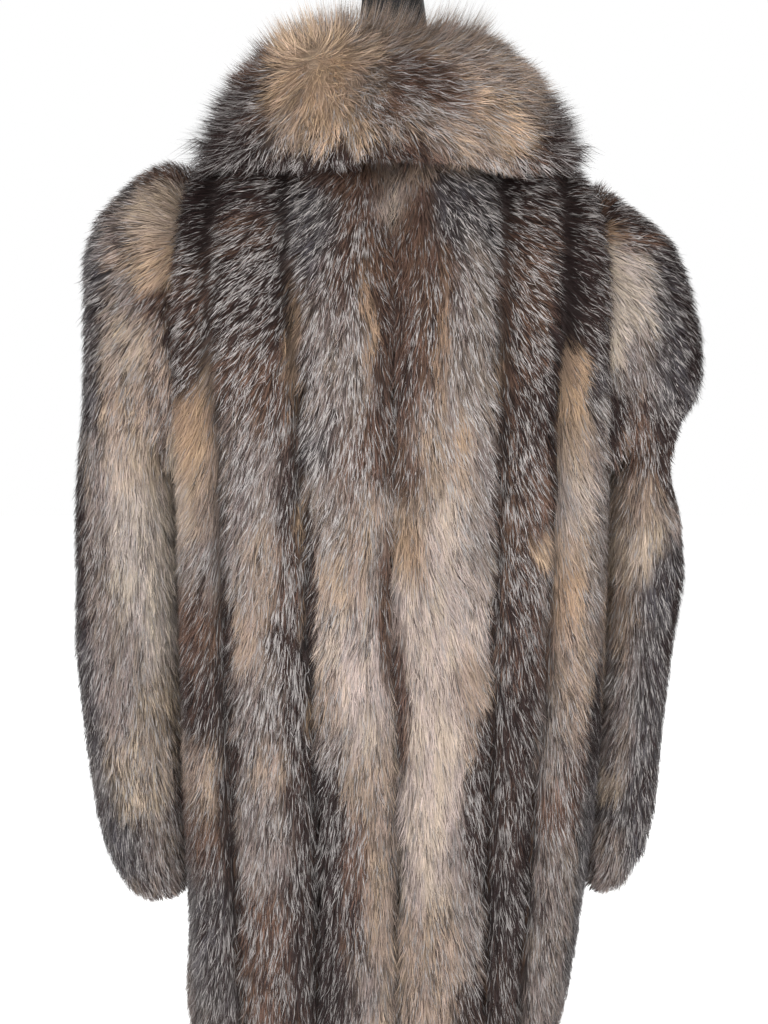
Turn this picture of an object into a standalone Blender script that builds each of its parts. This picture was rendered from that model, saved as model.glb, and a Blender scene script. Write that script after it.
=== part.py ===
"""A long-haired fox coat hanging on a limbless dress form.

Metres, +Z up. The coat's front faces -Y and its wearer's left side is +X. The origin is the
middle of the stand's flat underside. The coat is worked in whole skins let in as upright
strips: six in the back, one under each arm, three in each front, a tube for each sleeve and
one turned-over collar. Every skin is a wall as thick as leather and fur together, plain on
the inside and domed between its seams on the outside.
"""
import math

import bpy
import bmesh
from mathutils import Vector

for old in list(bpy.data.objects):
    bpy.data.objects.remove(old, do_unlink=True)

# ---------------------------------------------------------------- named sizes
HALF_GAP = 0.00017          # half the gap that two skins keep at a seam
UNDERARM_Z = 1.170          # bottom of the armholes
SHOULDER_BEND = 2.5         # how squarely the panels turn over the shoulder
BODY_SQUARENESS = 4.0       # superellipse exponent of the body's plan
NECK_HALF_WIDTH = 0.0875    # where the neckline meets the shoulder crest
NECK_DEPTH = {"back": 0.070, "front": 0.105}
CREST_TOP_Z = 1.490         # the shoulder crest carried on to the middle
CREST_SLOPE = 0.45
CREST_EASE = 0.05           # rounds the crest's slope off towards the neck
RIGHT_DROP = 0.012          # the right shoulder sits this much lower at its tip
EDGE_WALL = 0.020           # leather and flattened fur at a seam
DOME = 0.0075               # how far a skin's middle stands out of its seams
ARM_WALL = 0.012            # under the arm, where the sleeve presses the fur flat
PRESSED_FROM_X = 0.185      # how far out the pressing begins,
PRESSED_OVER = 0.018        # over what width it grows,
PRESSED_TO_Z = 1.20         # and from what height it eases off again
PRESSED_EASE = 0.12
CUFF_Z = 0.66               # below the cuffs the side skins are full again
FULL_OVER = 0.10
SIDE_INSET = 0.0022         # share of the way round that a side skin keeps off its neighbours
ARCH_STEPS = 9              # rows from the underarm to the shoulder crest
OUTER_COLUMNS = (0.0, 0.07, 0.24, 0.41, 0.59, 0.76, 0.93, 1.0)
INNER_COLUMNS = (0.0, 0.5, 1.0)
SIDE_COLUMNS = (0.0, 0.25, 0.5, 0.75, 1.0)

# Plan of the coat's inside at some heights: half width, depth behind and before the
# shoulder line, and how far the body swings to the wearer's left.
BODY = (
    # z,     half,  back,  front, swing
    (0.250, 0.180, 0.137, 0.133, 0.020),
    (0.450, 0.182, 0.140, 0.137, 0.020),
    (0.530, 0.191, 0.141, 0.139, 0.016),
    (0.620, 0.206, 0.143, 0.141, 0.010),
    (0.800, 0.216, 0.145, 0.142, 0.003),
    (1.000, 0.216, 0.143, 0.142, 0.000),
    (1.170, 0.213, 0.140, 0.140, 0.000),
)

# Where the back's seams run across, by height, from the left armhole to the right.
BACK_SEAMS = (
    # z,     arm_l, s1,    s2,     mid,    s4,     s5,     arm_r
    (0.250, 0.186, 0.146, 0.075, -0.003, -0.086, -0.116, -0.140),
    (0.450, 0.192, 0.150, 0.075, -0.003, -0.088, -0.122, -0.148),
    (0.620, 0.201, 0.153, 0.075, -0.004, -0.091, -0.129, -0.172),
    (0.830, 0.206, 0.155, 0.075, -0.005, -0.092, -0.136, -0.188),
    (1.000, 0.205, 0.156, 0.078, -0.001, -0.091, -0.144, -0.197),
    (1.170, 0.205, 0.157, 0.083, 0.001, -0.092, -0.147, -0.199),
    (1.330, 0.199, 0.159, 0.086, 0.001, -0.092, -0.148, -0.195),
    (1.450, 0.190, 0.155, 0.0875, 0.000, -0.0875, -0.146, -0.188),
)

# The same for the fronts; the middle column is the closing edge.
FRONT_SEAMS = (
    # z,     arm_l, s1,    s2,    mid,   s4,     s5,     arm_r
    (0.250, 0.184, 0.138, 0.072, 0.004, -0.062, -0.114, -0.140),
    (0.450, 0.191, 0.141, 0.073, 0.003, -0.064, -0.122, -0.149),
    (0.620, 0.200, 0.143, 0.074, 0.003, -0.068, -0.132, -0.175),
    (1.000, 0.205, 0.146, 0.078, 0.000, -0.076, -0.144, -0.202),
    (1.170, 0.205, 0.148, 0.082, 0.000, -0.082, -0.147, -0.203),
    (1.450, 0.190, 0.150, 0.0875, 0.000, -0.0875, -0.148, -0.188),
)

LOW_ROWS = (0.25, 0.33, 0.41, 0.49, 0.57, 0.65, 0.73, 0.81, 0.89, 0.97, 1.04, 1.11, UNDERARM_Z)

# The sleeve, ring by ring from the armhole. The outer side is given for each arm, since the
# right one bulges at the shoulder and is nipped in below it; the body side turns down over
# the underarm and then lies flat along the body, with the hollow's side given apart.
SLEEVE = (
    # lx,    lz,    rx,    rz,    bx,     bz,     hx,     hz,     depth, forward
    (0.219, 1.455, 0.211, 1.437, 0.2262, 1.1726, 0.2160, 1.1835, 0.101, 0.000),
    (0.250, 1.445, 0.240, 1.417, 0.2270, 1.1730, 0.2215, 1.1866, 0.101, 0.000),
    (0.281, 1.421, 0.268, 1.391, 0.2277, 1.1728, 0.2278, 1.1872, 0.100, 0.000),
    (0.303, 1.388, 0.292, 1.357, 0.2283, 1.1720, 0.2335, 1.1852, 0.099, 0.001),
    (0.317, 1.345, 0.309, 1.318, 0.2287, 1.1700, 0.2378, 1.1800, 0.098, 0.002),
    (0.323, 1.292, 0.319, 1.272, 0.2290, 1.1640, 0.2400, 1.1710, 0.097, 0.003),
    (0.327, 1.235, 0.320, 1.222, 0.2292, 1.1500, 0.2408, 1.1560, 0.096, 0.004),
    (0.333, 1.175, 0.306, 1.172, 0.2294, 1.1260, 0.2412, 1.1290, 0.095, 0.005),
    (0.339, 1.112, 0.300, 1.122, 0.2296, 1.0900, 0.2416, 1.0910, 0.094, 0.007),
    (0.341, 1.045, 0.313, 1.055, 0.2298, 1.0350, 0.2420, 1.0350, 0.093, 0.009),
    (0.345, 0.975, 0.315, 0.985, 0.2296, 0.9700, 0.2416, 0.9700, 0.091, 0.011),
    (0.346, 0.905, 0.309, 0.915, 0.2290, 0.9000, 0.2410, 0.9000, 0.089, 0.014),
    (0.345, 0.838, 0.301, 0.848, 0.2280, 0.8350, 0.2400, 0.8350, 0.086, 0.017),
    (0.342, 0.775, 0.298, 0.785, 0.2260, 0.7740, 0.2380, 0.7740, 0.082, 0.020),
    (0.336, 0.722, 0.296, 0.732, 0.2240, 0.7220, 0.2360, 0.7220, 0.078, 0.023),
    (0.324, 0.682, 0.289, 0.690, 0.2220, 0.6820, 0.2340, 0.6820, 0.074, 0.025),
    (0.306, 0.655, 0.276, 0.662, 0.2210, 0.6560, 0.2330, 0.6600, 0.068, 0.026),
)
SLEEVE_WALL = 0.023
SLEEVE_SQUARENESS = 2.7
LIP_DROP = 0.007
CUFF_THINNING = 0.0016      # taken off the wall ring by ring towards the cuff
BESIDE_GAP = 0.003          # between a sleeve and the body beside it
OVAL_RINGS = 6              # rings over which the armhole's arch turns into the sleeve's oval
THINNED_RINGS = 11          # rings before the wall begins to thin
HOLLOW_SHARE = 0.85         # the wall before and behind the arm, as a share of its side

# The collar's section at some directions round the neck, counted from the wearer's left
# (0) by way of the back (90) to the right (180) and the front (270). Every pair is a
# distance out from the neck's middle and a height. This is its stand and its fold,
COLLAR_FOLD = (
    # turn, in_r, top_r, top_z, out_r, out_z, mid_r, mid_z
    (-90.0, 0.066, 0.092, 1.536, 0.126, 1.524, 0.166, 1.476),
    (-40.0, 0.064, 0.098, 1.557, 0.134, 1.543, 0.166, 1.506),
    (0.0, 0.062, 0.102, 1.571, 0.139, 1.556, 0.166, 1.520),
    (40.0, 0.058, 0.092, 1.574, 0.130, 1.563, 0.162, 1.530),
    (90.0, 0.054, 0.078, 1.572, 0.114, 1.564, 0.152, 1.532),
    (140.0, 0.058, 0.090, 1.571, 0.128, 1.560, 0.160, 1.528),
    (180.0, 0.062, 0.097, 1.566, 0.133, 1.551, 0.160, 1.515),
    (220.0, 0.064, 0.096, 1.554, 0.131, 1.540, 0.163, 1.502),
    (270.0, 0.066, 0.092, 1.536, 0.126, 1.524, 0.166, 1.476),
)
# and this is its fall, from above its lower edge round to the slot over the shoulders.
COLLAR_FALL = (
    # turn, low_r, low_z, edge_r, edge_z, under_r, under_z, slot_r, slot_z
    (-90.0, 0.191, 1.402, 0.197, 1.345, 0.175, 1.345, 0.148, 1.456),
    (-40.0, 0.191, 1.466, 0.199, 1.434, 0.176, 1.443, 0.136, 1.494),
    (0.0, 0.188, 1.486, 0.199, 1.466, 0.174, 1.470, 0.132, 1.503),
    (40.0, 0.187, 1.482, 0.195, 1.446, 0.171, 1.445, 0.129, 1.502),
    (90.0, 0.180, 1.480, 0.186, 1.434, 0.162, 1.429, 0.122, 1.492),
    (140.0, 0.183, 1.480, 0.191, 1.443, 0.168, 1.441, 0.128, 1.500),
    (180.0, 0.182, 1.480, 0.194, 1.459, 0.170, 1.465, 0.130, 1.500),
    (220.0, 0.188, 1.462, 0.197, 1.431, 0.175, 1.440, 0.136, 1.492),
    (270.0, 0.191, 1.402, 0.197, 1.345, 0.175, 1.345, 0.148, 1.456),
)

COLLAR_OFF = HALF_GAP * 2.4 # how far the collar keeps off the neckline
SEAM_STEP = (0.001, 0.010)  # out and up from the neckline's outer edge to the collar's first fold
SLOT_RISE = 0.012           # how far over that the slot under the fall begins
INNER_DROP = (0.012, 0.035) # below the fold's top, the two rows of the collar's inside
LEAST_INNER_Z = 1.44        # the inside's lowest row over the neckline
FOOT = (0.021, 0.012)       # in and up from the neckline's inner edge to the collar's foot

# The dress form, section by section: half width and half depth, how far it leans back and
# how square its plan is. From the arms up its half width runs under the coat's crest.
FORM = (
    # z,     half,   deep,  back,   square
    (0.700, 0.150, 0.095, 0.000, 2.4),
    (0.705, 0.160, 0.103, 0.000, 2.4),
    (0.760, 0.168, 0.110, 0.000, 2.4),
    (0.850, 0.171, 0.113, 0.003, 2.4),
    (0.930, 0.160, 0.104, 0.002, 2.4),
    (1.030, 0.132, 0.092, 0.000, 2.3),
    (1.120, 0.148, 0.106, -0.006, 2.3),
    (1.200, 0.164, 0.116, -0.010, 2.4),
    (1.280, 0.172, 0.106, -0.004, 2.5),
    (1.340, 0.176, 0.093, 0.000, 2.4),
    (1.385, 0.178, 0.078, 0.000, 2.1),
    (1.408, 0.178, 0.068, 0.000, 2.0),
)
FORM_NECK = (
    # z,     half,   deep,   back,  square
    (1.463, 0.0840, 0.0480, 0.000, 2.0),
    (1.470, 0.0660, 0.0430, 0.000, 2.0),
    (1.481, 0.0530, 0.0400, 0.000, 2.0),
    (1.500, 0.0455, 0.0385, 0.000, 2.0),
    (1.540, 0.0405, 0.0370, 0.000, 2.0),
    (1.575, 0.0372, 0.0350, 0.000, 2.0),
    (1.600, 0.0335, 0.0320, 0.000, 2.0),
    (1.626, 0.0295, 0.0290, 0.000, 2.0),
)
SHOULDER_Z = (1.420, 1.459)     # the form's shoulders, which the coat's crest lies on,
SHOULDER_DEEP = (0.064, 0.052)  # and their half depth, from the lowest ring to the highest
SHOULDER_RINGS = 5
FORM_SIDES = 40
REST_GAP = 0.0005           # between the form's shoulders and the coat lying on them
POLE_RADIUS = 0.0125
BASE_RADIUS = 0.200
BASE_EDGE_Z = 0.012
BASE_TOP_Z = 0.024


# ---------------------------------------------------------------- small helpers
def lerp(a, b, t):
    return a + (b - a) * t


def smooth_at(rows, key, column):
    """A column of a table at a key, along a smooth curve through its rows."""
    for i in range(len(rows) - 1):
        if key <= rows[i + 1][0] or i == len(rows) - 2:
            a, b = rows[i], rows[i + 1]
            before = rows[max(i - 1, 0)]
            after = rows[min(i + 2, len(rows) - 1)]
            span = b[0] - a[0]
            t = min(max((key - a[0]) / span, 0.0), 1.0)
            ma = (b[column] - before[column]) / max(b[0] - before[0], 1e-6) * span
            mb = (after[column] - a[column]) / max(after[0] - a[0], 1e-6) * span
            h = (2 * t ** 3 - 3 * t ** 2 + 1, t ** 3 - 2 * t ** 2 + t,
                 -2 * t ** 3 + 3 * t ** 2, t ** 3 - t ** 2)
            return h[0] * a[column] + h[1] * ma + h[2] * b[column] + h[3] * mb
    return rows[-1][column]


def signed_power(value, power):
    return math.copysign(abs(value) ** power, value)


def make_material(name, colour, roughness, metallic=0.0):
    mat = bpy.data.materials.new(name)
    mat.use_nodes = True
    shader = mat.node_tree.nodes["Principled BSDF"]
    shader.inputs["Base Color"].default_value = (*colour, 1.0)
    shader.inputs["Roughness"].default_value = roughness
    shader.inputs["Metallic"].default_value = metallic
    return mat


def add_object(name, mesh_maker, material, smooth=True):
    mesh = bpy.data.meshes.new(name)
    bm = bmesh.new()
    mesh_maker(bm)
    bmesh.ops.triangulate(bm, faces=[f for f in bm.faces if len(f.verts) > 3], ngon_method="EAR_CLIP")
    bmesh.ops.recalc_face_normals(bm, faces=bm.faces)
    bm.to_mesh(mesh)
    bm.free()
    obj = bpy.data.objects.new(name, mesh)
    bpy.context.collection.objects.link(obj)
    mesh.materials.append(material)
    if smooth:
        mesh.shade_smooth()
        mesh.set_sharp_from_angle(angle=math.radians(50))
    return obj


# ---------------------------------------------------------------- the coat's body
def crest_z(x):
    """Height of the coat's inside along the shoulder crest."""
    z = CREST_TOP_Z - CREST_SLOPE * (math.hypot(x, CREST_EASE) - CREST_EASE)
    if x < 0:
        z -= RIGHT_DROP * (x / 0.19) ** 2
    return z


def plan_y(x, z, side):
    """Distance of the coat's inside from the shoulder line, behind or before it."""
    half = smooth_at(BODY, z, 1)
    deep = smooth_at(BODY, z, 2 if side == "back" else 3)
    across = min(abs(x - smooth_at(BODY, z, 4)) / half, 0.9999)
    return deep * (1.0 - across ** BODY_SQUARENESS) ** (1.0 / BODY_SQUARENESS)


def arch_end(x, side):
    """How far up the arch a column runs: to the crest, or to the neckline."""
    if abs(x) >= NECK_HALF_WIDTH:
        return math.pi / 2
    cut = NECK_DEPTH[side] * math.sqrt(1.0 - (x / NECK_HALF_WIDTH) ** 2)
    return math.acos(min(cut / plan_y(x, UNDERARM_Z, side), 1.0) ** (SHOULDER_BEND / 2))


def panel_point(x, row, side):
    """A point of the inside. row is a height below the underarm, or 0..1 up the arch."""
    sign = 1.0 if side == "back" else -1.0
    kind, value = row
    if kind == "low":
        return Vector((x, sign * plan_y(x, value, side), value))
    turn = value * arch_end(x, side)
    y = plan_y(x, UNDERARM_Z, side) * math.cos(turn) ** (2 / SHOULDER_BEND)
    z = UNDERARM_Z + (crest_z(x) - UNDERARM_Z) * math.sin(turn) ** (2 / SHOULDER_BEND)
    return Vector((x, sign * y, z))


def seam_x(table, row, column):
    kind, value = row
    z = value if kind == "low" else lerp(UNDERARM_Z, 1.45, math.sin(value * math.pi / 2) ** 0.8)
    return smooth_at(table, z, column)


def arch_frame(x, row, side):
    """The inside point and the outward normal there."""
    kind, value = row
    step = 1e-4
    here = panel_point(x, row, side)
    across = panel_point(x + step, row, side) - panel_point(x - step, row, side)
    if kind == "low":
        up = (panel_point(x, (kind, min(value + step, UNDERARM_Z)), side)
              - panel_point(x, (kind, value - step), side))
    elif value < 1e-6:
        up = Vector((0.0, 0.0, 1.0))
    else:
        end = arch_end(x, side)
        turn = value * end
        sign = 1.0 if side == "back" else -1.0
        bend = 2 / SHOULDER_BEND
        c, s = max(math.cos(turn), 1e-9), max(math.sin(turn), 1e-9)
        dy = -bend * plan_y(x, UNDERARM_Z, side) * c ** (bend - 1) * s
        dz = bend * (crest_z(x) - UNDERARM_Z) * s ** (bend - 1) * c
        up = Vector((0.0, sign * dy, dz))
        if c < 1e-4:
            up = Vector((0.0, -sign, 0.0))
        # across at a fixed depth, so that the arch's own end does not tilt it
        here_x = here.y
        lift = (crest_z(x + step) - crest_z(x - step)) * s ** bend
        swing = sign * (plan_y(x + step, UNDERARM_Z, side)
                        - plan_y(x - step, UNDERARM_Z, side)) * c ** bend
        across = Vector((2 * step, swing, lift))
    normal = across.cross(up).normalized()
    if side == "back":
        normal = -normal
    outward = Vector((here.x * 0.3, here.y, 0.0)) + Vector((0.0, 0.0, max(here.z - 1.35, 0.0)))
    if normal.dot(outward) < 0:
        normal = -normal
    return here, normal


def dome(t):
    return DOME * (1.0 - abs(2 * t - 1) ** 2.2)


def side_dome(z):
    """The side skins are pressed flat by the sleeves and full again below the cuffs."""
    t = min(max((CUFF_Z - z) / FULL_OVER, 0.0), 1.0)
    return t * t * (3 - 2 * t)


def edge_wall(x, z):
    """Wall at the seams: thinner towards the side, where the sleeve lies on it."""
    near_arm = min(max((abs(x) - PRESSED_FROM_X) / PRESSED_OVER, 0.0), 1.0)
    shoulder = min(max((z - PRESSED_TO_Z) / PRESSED_EASE, 0.0), 1.0)
    free = max(side_dome(z), shoulder)
    return lerp(EDGE_WALL, lerp(ARM_WALL, EDGE_WALL, free), near_arm)


def panel_rows():
    rows = [("low", z) for z in LOW_ROWS]
    rows += [("arch", (k + 1) / ARCH_STEPS) for k in range(ARCH_STEPS)]
    return rows


def split_quad(bm, a, b, c, d, other=False):
    """A four-sided face as two triangles, cut from a to c or from b to d."""
    if other:
        bm.faces.new((a, b, d))
        bm.faces.new((b, c, d))
    else:
        bm.faces.new((a, b, c))
        bm.faces.new((a, c, d))


def wall_solid(bm, inner, outer, to_middle=False):
    """Close two grids of points, one inside the other, into a wall.

    Both have the same rows; the outer one may have more columns than the inner one. Where
    they have the same, the last row's end is split the way the collar beside it is.
    """
    inside = [[bm.verts.new(p) for p in row] for row in inner]
    outside = [[bm.verts.new(p) for p in row] for row in outer]
    for grid in (inside, outside):
        for low, high in zip(grid, grid[1:]):
            for k in range(len(low) - 1):
                bm.faces.new((low[k], low[k + 1], high[k + 1]))
                bm.faces.new((low[k], high[k + 1], high[k]))
    for edge in (0, -1):
        for j in range(len(inside) - 1):
            a, b = inside[j][edge], outside[j][edge]
            c, d = outside[j + 1][edge], inside[j + 1][edge]
            bm.faces.new((a, b, c))
            bm.faces.new((a, c, d))
    for j in (0, -1):
        a, b = inside[j], outside[j]
        if len(a) == len(b):
            for k in range(len(a) - 1):
                split_quad(bm, a[k], b[k], b[k + 1], a[k + 1], to_middle)
        else:
            bm.faces.new(a + list(reversed(b)))


def end_pull(point, side, is_last):
    """The last row stays half a gap on its own side of the crest plane."""
    if is_last and abs(point.y) < HALF_GAP:
        point = point.copy()
        point.y = HALF_GAP if side == "back" else -HALF_GAP
    return point


def panel_skin(side, table, left, right):
    """One upright skin of the back or the fronts, between two seam columns."""
    by_neck = 4 in (left, right)

    def build(bm):
        inner, outer = [], []
        rows = panel_rows()
        for j, row in enumerate(rows):
            last = j == len(rows) - 1
            x_left = seam_x(table, row, left) - HALF_GAP
            x_right = seam_x(table, row, right) + HALF_GAP
            in_columns = OUTER_COLUMNS if by_neck else INNER_COLUMNS
            for columns, grid, wall in ((in_columns, inner, False), (OUTER_COLUMNS, outer, True)):
                line = []
                for t in columns:
                    x = lerp(x_left, x_right, t)
                    here, normal = arch_frame(x, row, side)
                    if wall:
                        ends = min(t, 1 - t)
                        here = here + normal * (edge_wall(x, here.z) + dome(t) * (1.0 if ends > 0 else 0.0))
                    line.append(end_pull(here, side, last))
                grid.append(line)
        wall_solid(bm, inner, outer, to_middle=right == 4)
    return build


def side_frame(hand, v, z):
    """The inside point and normal under an arm; v runs from the back seam to the front."""
    column = 1 if hand > 0 else 7
    x_back = smooth_at(BACK_SEAMS, z, column)
    x_front = smooth_at(FRONT_SEAMS, z, column)
    y_back = plan_y(x_back, z, "back")
    y_front = -plan_y(x_front, z, "front")
    half, swing = smooth_at(BODY, z, 1), smooth_at(BODY, z, 4)

    def point(at):
        y = lerp(y_back, y_front, at)
        deep = smooth_at(BODY, z, 2 if y > 0 else 3)
        across = (1.0 - min(abs(y) / deep, 1.0) ** BODY_SQUARENESS) ** (1.0 / BODY_SQUARENESS)
        return Vector((swing + hand * half * across, y, z))

    here = point(v)
    along = point(v + 1e-3) - point(v - 1e-3)
    normal = along.cross(Vector((0, 0, 1))).normalized()
    if normal.x * hand < 0:
        normal = -normal
    return here, normal


def side_skin(hand):
    def build(bm):
        inner, outer = [], []
        for z in LOW_ROWS:
            at = z - (HALF_GAP if z == UNDERARM_Z else 0.0)
            lines = ([], [])
            for v in SIDE_COLUMNS:
                inset = {0.0: SIDE_INSET, 1.0: -SIDE_INSET}.get(v, 0.0)
                here, normal = side_frame(hand, v + inset, at)
                full = side_dome(at)
                wall = edge_wall(here.x, at) + dome(v) * full
                lines[0].append(here)
                lines[1].append(here + normal * wall)
            inner.append(lines[0])
            outer.append(lines[1])
        wall_solid(bm, inner, outer)
    return build


def side_reach(hand, z):
    """How far out the body's side stands at a height."""
    if z > UNDERARM_Z - 0.001:
        return 0.0
    here, normal = side_frame(hand, 0.5, z)
    return abs(here.x) + edge_wall(here.x, z) + dome(0.5) * side_dome(z)


# ---------------------------------------------------------------- the sleeves
def armhole(hand):
    """The armhole's edge, inside and outside, all the way round from the crest's tip.

    Each station also carries where it sits on the loop: how far up it is from the underarm
    to the crest (0..1) and how far back it is (-1..1).
    """
    column = 1 if hand > 0 else 7
    away = HALF_GAP * hand
    arch = [("arch", (k + 1) / ARCH_STEPS) for k in range(ARCH_STEPS)]
    stations = []

    def panel_station(side, table, row):
        x = seam_x(table, row, column) + away
        here, normal = arch_frame(x, row, side)
        return here, here + normal * edge_wall(x, here.z)

    for side, table, rows in (("back", BACK_SEAMS, list(reversed(arch))),
                              ("front", FRONT_SEAMS, arch[:-1])):
        if side == "front":
            for v in SIDE_COLUMNS:
                here, normal = side_frame(hand, v, UNDERARM_Z)
                lift = Vector((away if v in (0.0, 1.0) else 0.0, 0.0, HALF_GAP))
                stations.append((here + lift, here + lift + normal * ARM_WALL))
        for row in rows:
            stations.append(panel_station(side, table, row))
    tip_z = stations[0][0].z
    deep = max(abs(inside.y) for inside, outside in stations)
    placed = []
    for inside, outside in stations:
        up = (inside.z - UNDERARM_Z) / (tip_z - UNDERARM_Z)
        placed.append((inside, outside, up, inside.y / deep))
    return placed


def oval_place(up, back):
    """Where a station of the armhole goes on the sleeve's oval: 0..1 out, -1..1 back."""
    angle = math.atan2(back, (up - 0.5) * 2)
    power = 2 / SLEEVE_SQUARENESS
    return 0.5 + 0.5 * signed_power(math.cos(angle), power), signed_power(math.sin(angle), power)


def sleeve_rings(hand):
    loop = armhole(hand)
    inner = [[station[0] for station in loop]]
    outer = [[station[1] for station in loop]]
    for k, row in enumerate(SLEEVE):
        lx, lz, rx, rz, bx, bz, hx, hz, depth, forward = row
        far = Vector((lx, 0.0, lz)) if hand > 0 else Vector((rx, 0.0, rz))
        beside = side_reach(hand, bz) + BESIDE_GAP
        near = Vector((max(bx, beside), 0.0, bz))
        hollow = Vector((max(hx, beside + ARM_WALL), 0.0, hz))
        wall = SLEEVE_WALL - CUFF_THINNING * max(k - THINNED_RINGS, 0)
        far_in = far + (near - far).normalized() * wall
        blend = min((k + 1) / OVAL_RINGS, 1.0)
        for grid, a, b, d in ((inner, hollow, far_in, depth - wall * HOLLOW_SHARE),
                              (outer, near, far, depth)):
            line = []
            for inside, outside, up, back in loop:
                o_up, o_back = oval_place(up, back)
                s = lerp(up, o_up, blend)
                q = lerp(back, o_back, blend)
                p = a + (b - a) * s
                line.append(Vector((p.x * hand, -forward + d * q, p.z)))
            grid.append(line)
    return inner, outer


def sleeve(hand):
    def build(bm):
        inner, outer = sleeve_rings(hand)
        lip = [(a + b) / 2 - Vector((0, 0, LIP_DROP)) for a, b in zip(inner[-1], outer[-1])]
        rings = outer + [lip] + list(reversed(inner))
        verts = [[bm.verts.new(p) for p in ring] for ring in rings]
        count = len(verts[0])
        for j in range(len(verts)):
            low, high = verts[j], verts[(j + 1) % len(verts)]
            for k in range(count):
                m = (k + 1) % count
                split_quad(bm, low[k], low[m], high[m], high[k], k < ARCH_STEPS)
    return build


# ---------------------------------------------------------------- the collar
def neck_edge():
    """The coat's neckline from the closing edge round by the left, back and right.

    Each station: the edge's inner and outer points and its direction round the neck.
    """
    stations = []
    last = ("arch", 1.0)
    plan = (
        ("front", FRONT_SEAMS, 4, 3, False),
        ("back", BACK_SEAMS, 3, 4, False),
        ("back", BACK_SEAMS, 4, 5, True),
        ("front", FRONT_SEAMS, 5, 4, False),
    )
    for n, (side, table, start, end, skip) in enumerate(plan):
        xs = seam_x(table, last, start), seam_x(table, last, end)
        for i, t in enumerate(OUTER_COLUMNS):
            if i == 0 and n > 0:
                continue
            x = lerp(xs[0], xs[1], t)
            if n == 0 and i == 0:
                x = HALF_GAP
            if n == 3 and i == len(OUTER_COLUMNS) - 1:
                x = -HALF_GAP
            here, normal = arch_frame(x, last, side)
            wall = EDGE_WALL + dome(t)
            stations.append((here, here + normal * wall))
    return stations


def collar(bm):
    loops = []
    stations = neck_edge()
    for n, (inside, outside) in enumerate(stations):
        flat = Vector((inside.x, inside.y, 0.0))
        turn = math.degrees(math.atan2(inside.y, inside.x))
        if turn < -90.0:
            turn += 360.0
        if n == 0:
            turn = -90.0
        if n == len(stations) - 1:
            turn = 270.0
        out = flat.normalized()
        back_off = -out * COLLAR_OFF
        fold = [smooth_at(COLLAR_FOLD, turn, column) for column in range(1, 8)]
        fall = [smooth_at(COLLAR_FALL, turn, column) for column in range(1, 9)]
        in_r, top_r, top_z, out_r, out_z, mid_r, mid_z = fold
        low_r, low_z, edge_r, edge_z, under_r, under_z, slot_r, slot_z = fall

        def at(r, z):
            p = out * r
            if n in (0, len(stations) - 1):
                p.x = inside.x
            return Vector((p.x, p.y, z))

        low = inside + back_off
        high = outside + back_off
        reach = high.xy.length
        base_r = low.xy.length
        loop = [
            low,
            high,
            at(reach + SEAM_STEP[0], high.z + SEAM_STEP[1]),
            at(lerp(reach, slot_r, 0.5), lerp(high.z + SLOT_RISE, slot_z, 0.7)),
            at(slot_r, slot_z),
            at(under_r, under_z),
            at(edge_r, edge_z),
            at(low_r, low_z),
            at(mid_r, mid_z),
            at(out_r, out_z),
            at(top_r, top_z),
            at(lerp(in_r, top_r, 0.35), top_z - INNER_DROP[0]),
            at(in_r, top_z - INNER_DROP[1]),
            at(in_r, max(low.z + 0.030, LEAST_INNER_Z)),
            at(max(in_r, base_r - FOOT[0]), low.z + FOOT[1]),
        ]
        loops.append([bm.verts.new(p) for p in loop])
    count = len(loops[0])
    quarter = len(OUTER_COLUMNS) - 1
    for n, (a, b) in enumerate(zip(loops, loops[1:])):
        to_middle = (n // quarter) % 2 == 1
        for k in range(count):
            m = (k + 1) % count
            split_quad(bm, a[k], a[m], b[m], b[k], to_middle)
    bm.faces.new(loops[0])
    bm.faces.new(loops[-1])


# ---------------------------------------------------------------- the dress form
def crest_reach(z):
    """How far out the coat's crest has come down to a height, on its lower side."""
    low, high = 0.0, 0.30
    for _ in range(50):
        mid = (low + high) / 2
        if crest_z(-mid) > z:
            low = mid
        else:
            high = mid
    return low


def form_ring(bm, half, deep, back, square, z):
    ring = []
    for k in range(FORM_SIDES):
        a = 2 * math.pi * k / FORM_SIDES
        x = half * signed_power(math.cos(a), 2 / square)
        y = back + deep * signed_power(math.sin(a), 2 / square)
        ring.append(bm.verts.new((x, y, z)))
    return ring


def form_torso(bm):
    rings = [form_ring(bm, half, deep, back, square, z) for z, half, deep, back, square in FORM]
    for k in range(SHOULDER_RINGS):
        t = k / (SHOULDER_RINGS - 1)
        z = lerp(*SHOULDER_Z, t)
        rings.append(form_ring(bm, crest_reach(z + REST_GAP), lerp(*SHOULDER_DEEP, t), 0.0, 2.0, z))
    rings += [form_ring(bm, half, deep, back, square, z) for z, half, deep, back, square in FORM_NECK]
    for low, high in zip(rings, rings[1:]):
        for k in range(FORM_SIDES):
            m = (k + 1) % FORM_SIDES
            bm.faces.new((low[k], low[m], high[m], high[k]))
    bm.faces.new(rings[0])
    bm.faces.new(rings[-1])


def turned(profile, sides=40):
    """A solid turned round the Z axis from (radius, height) steps."""
    def build(bm):
        rings = []
        for radius, z in profile:
            rings.append([bm.verts.new((radius * math.cos(2 * math.pi * k / sides),
                                        radius * math.sin(2 * math.pi * k / sides), z))
                          for k in range(sides)])
        for low, high in zip(rings, rings[1:]):
            for k in range(sides):
                m = (k + 1) % sides
                bm.faces.new((low[k], low[m], high[m], high[k]))
        bm.faces.new(rings[0])
        bm.faces.new(rings[-1])
    return build


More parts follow.
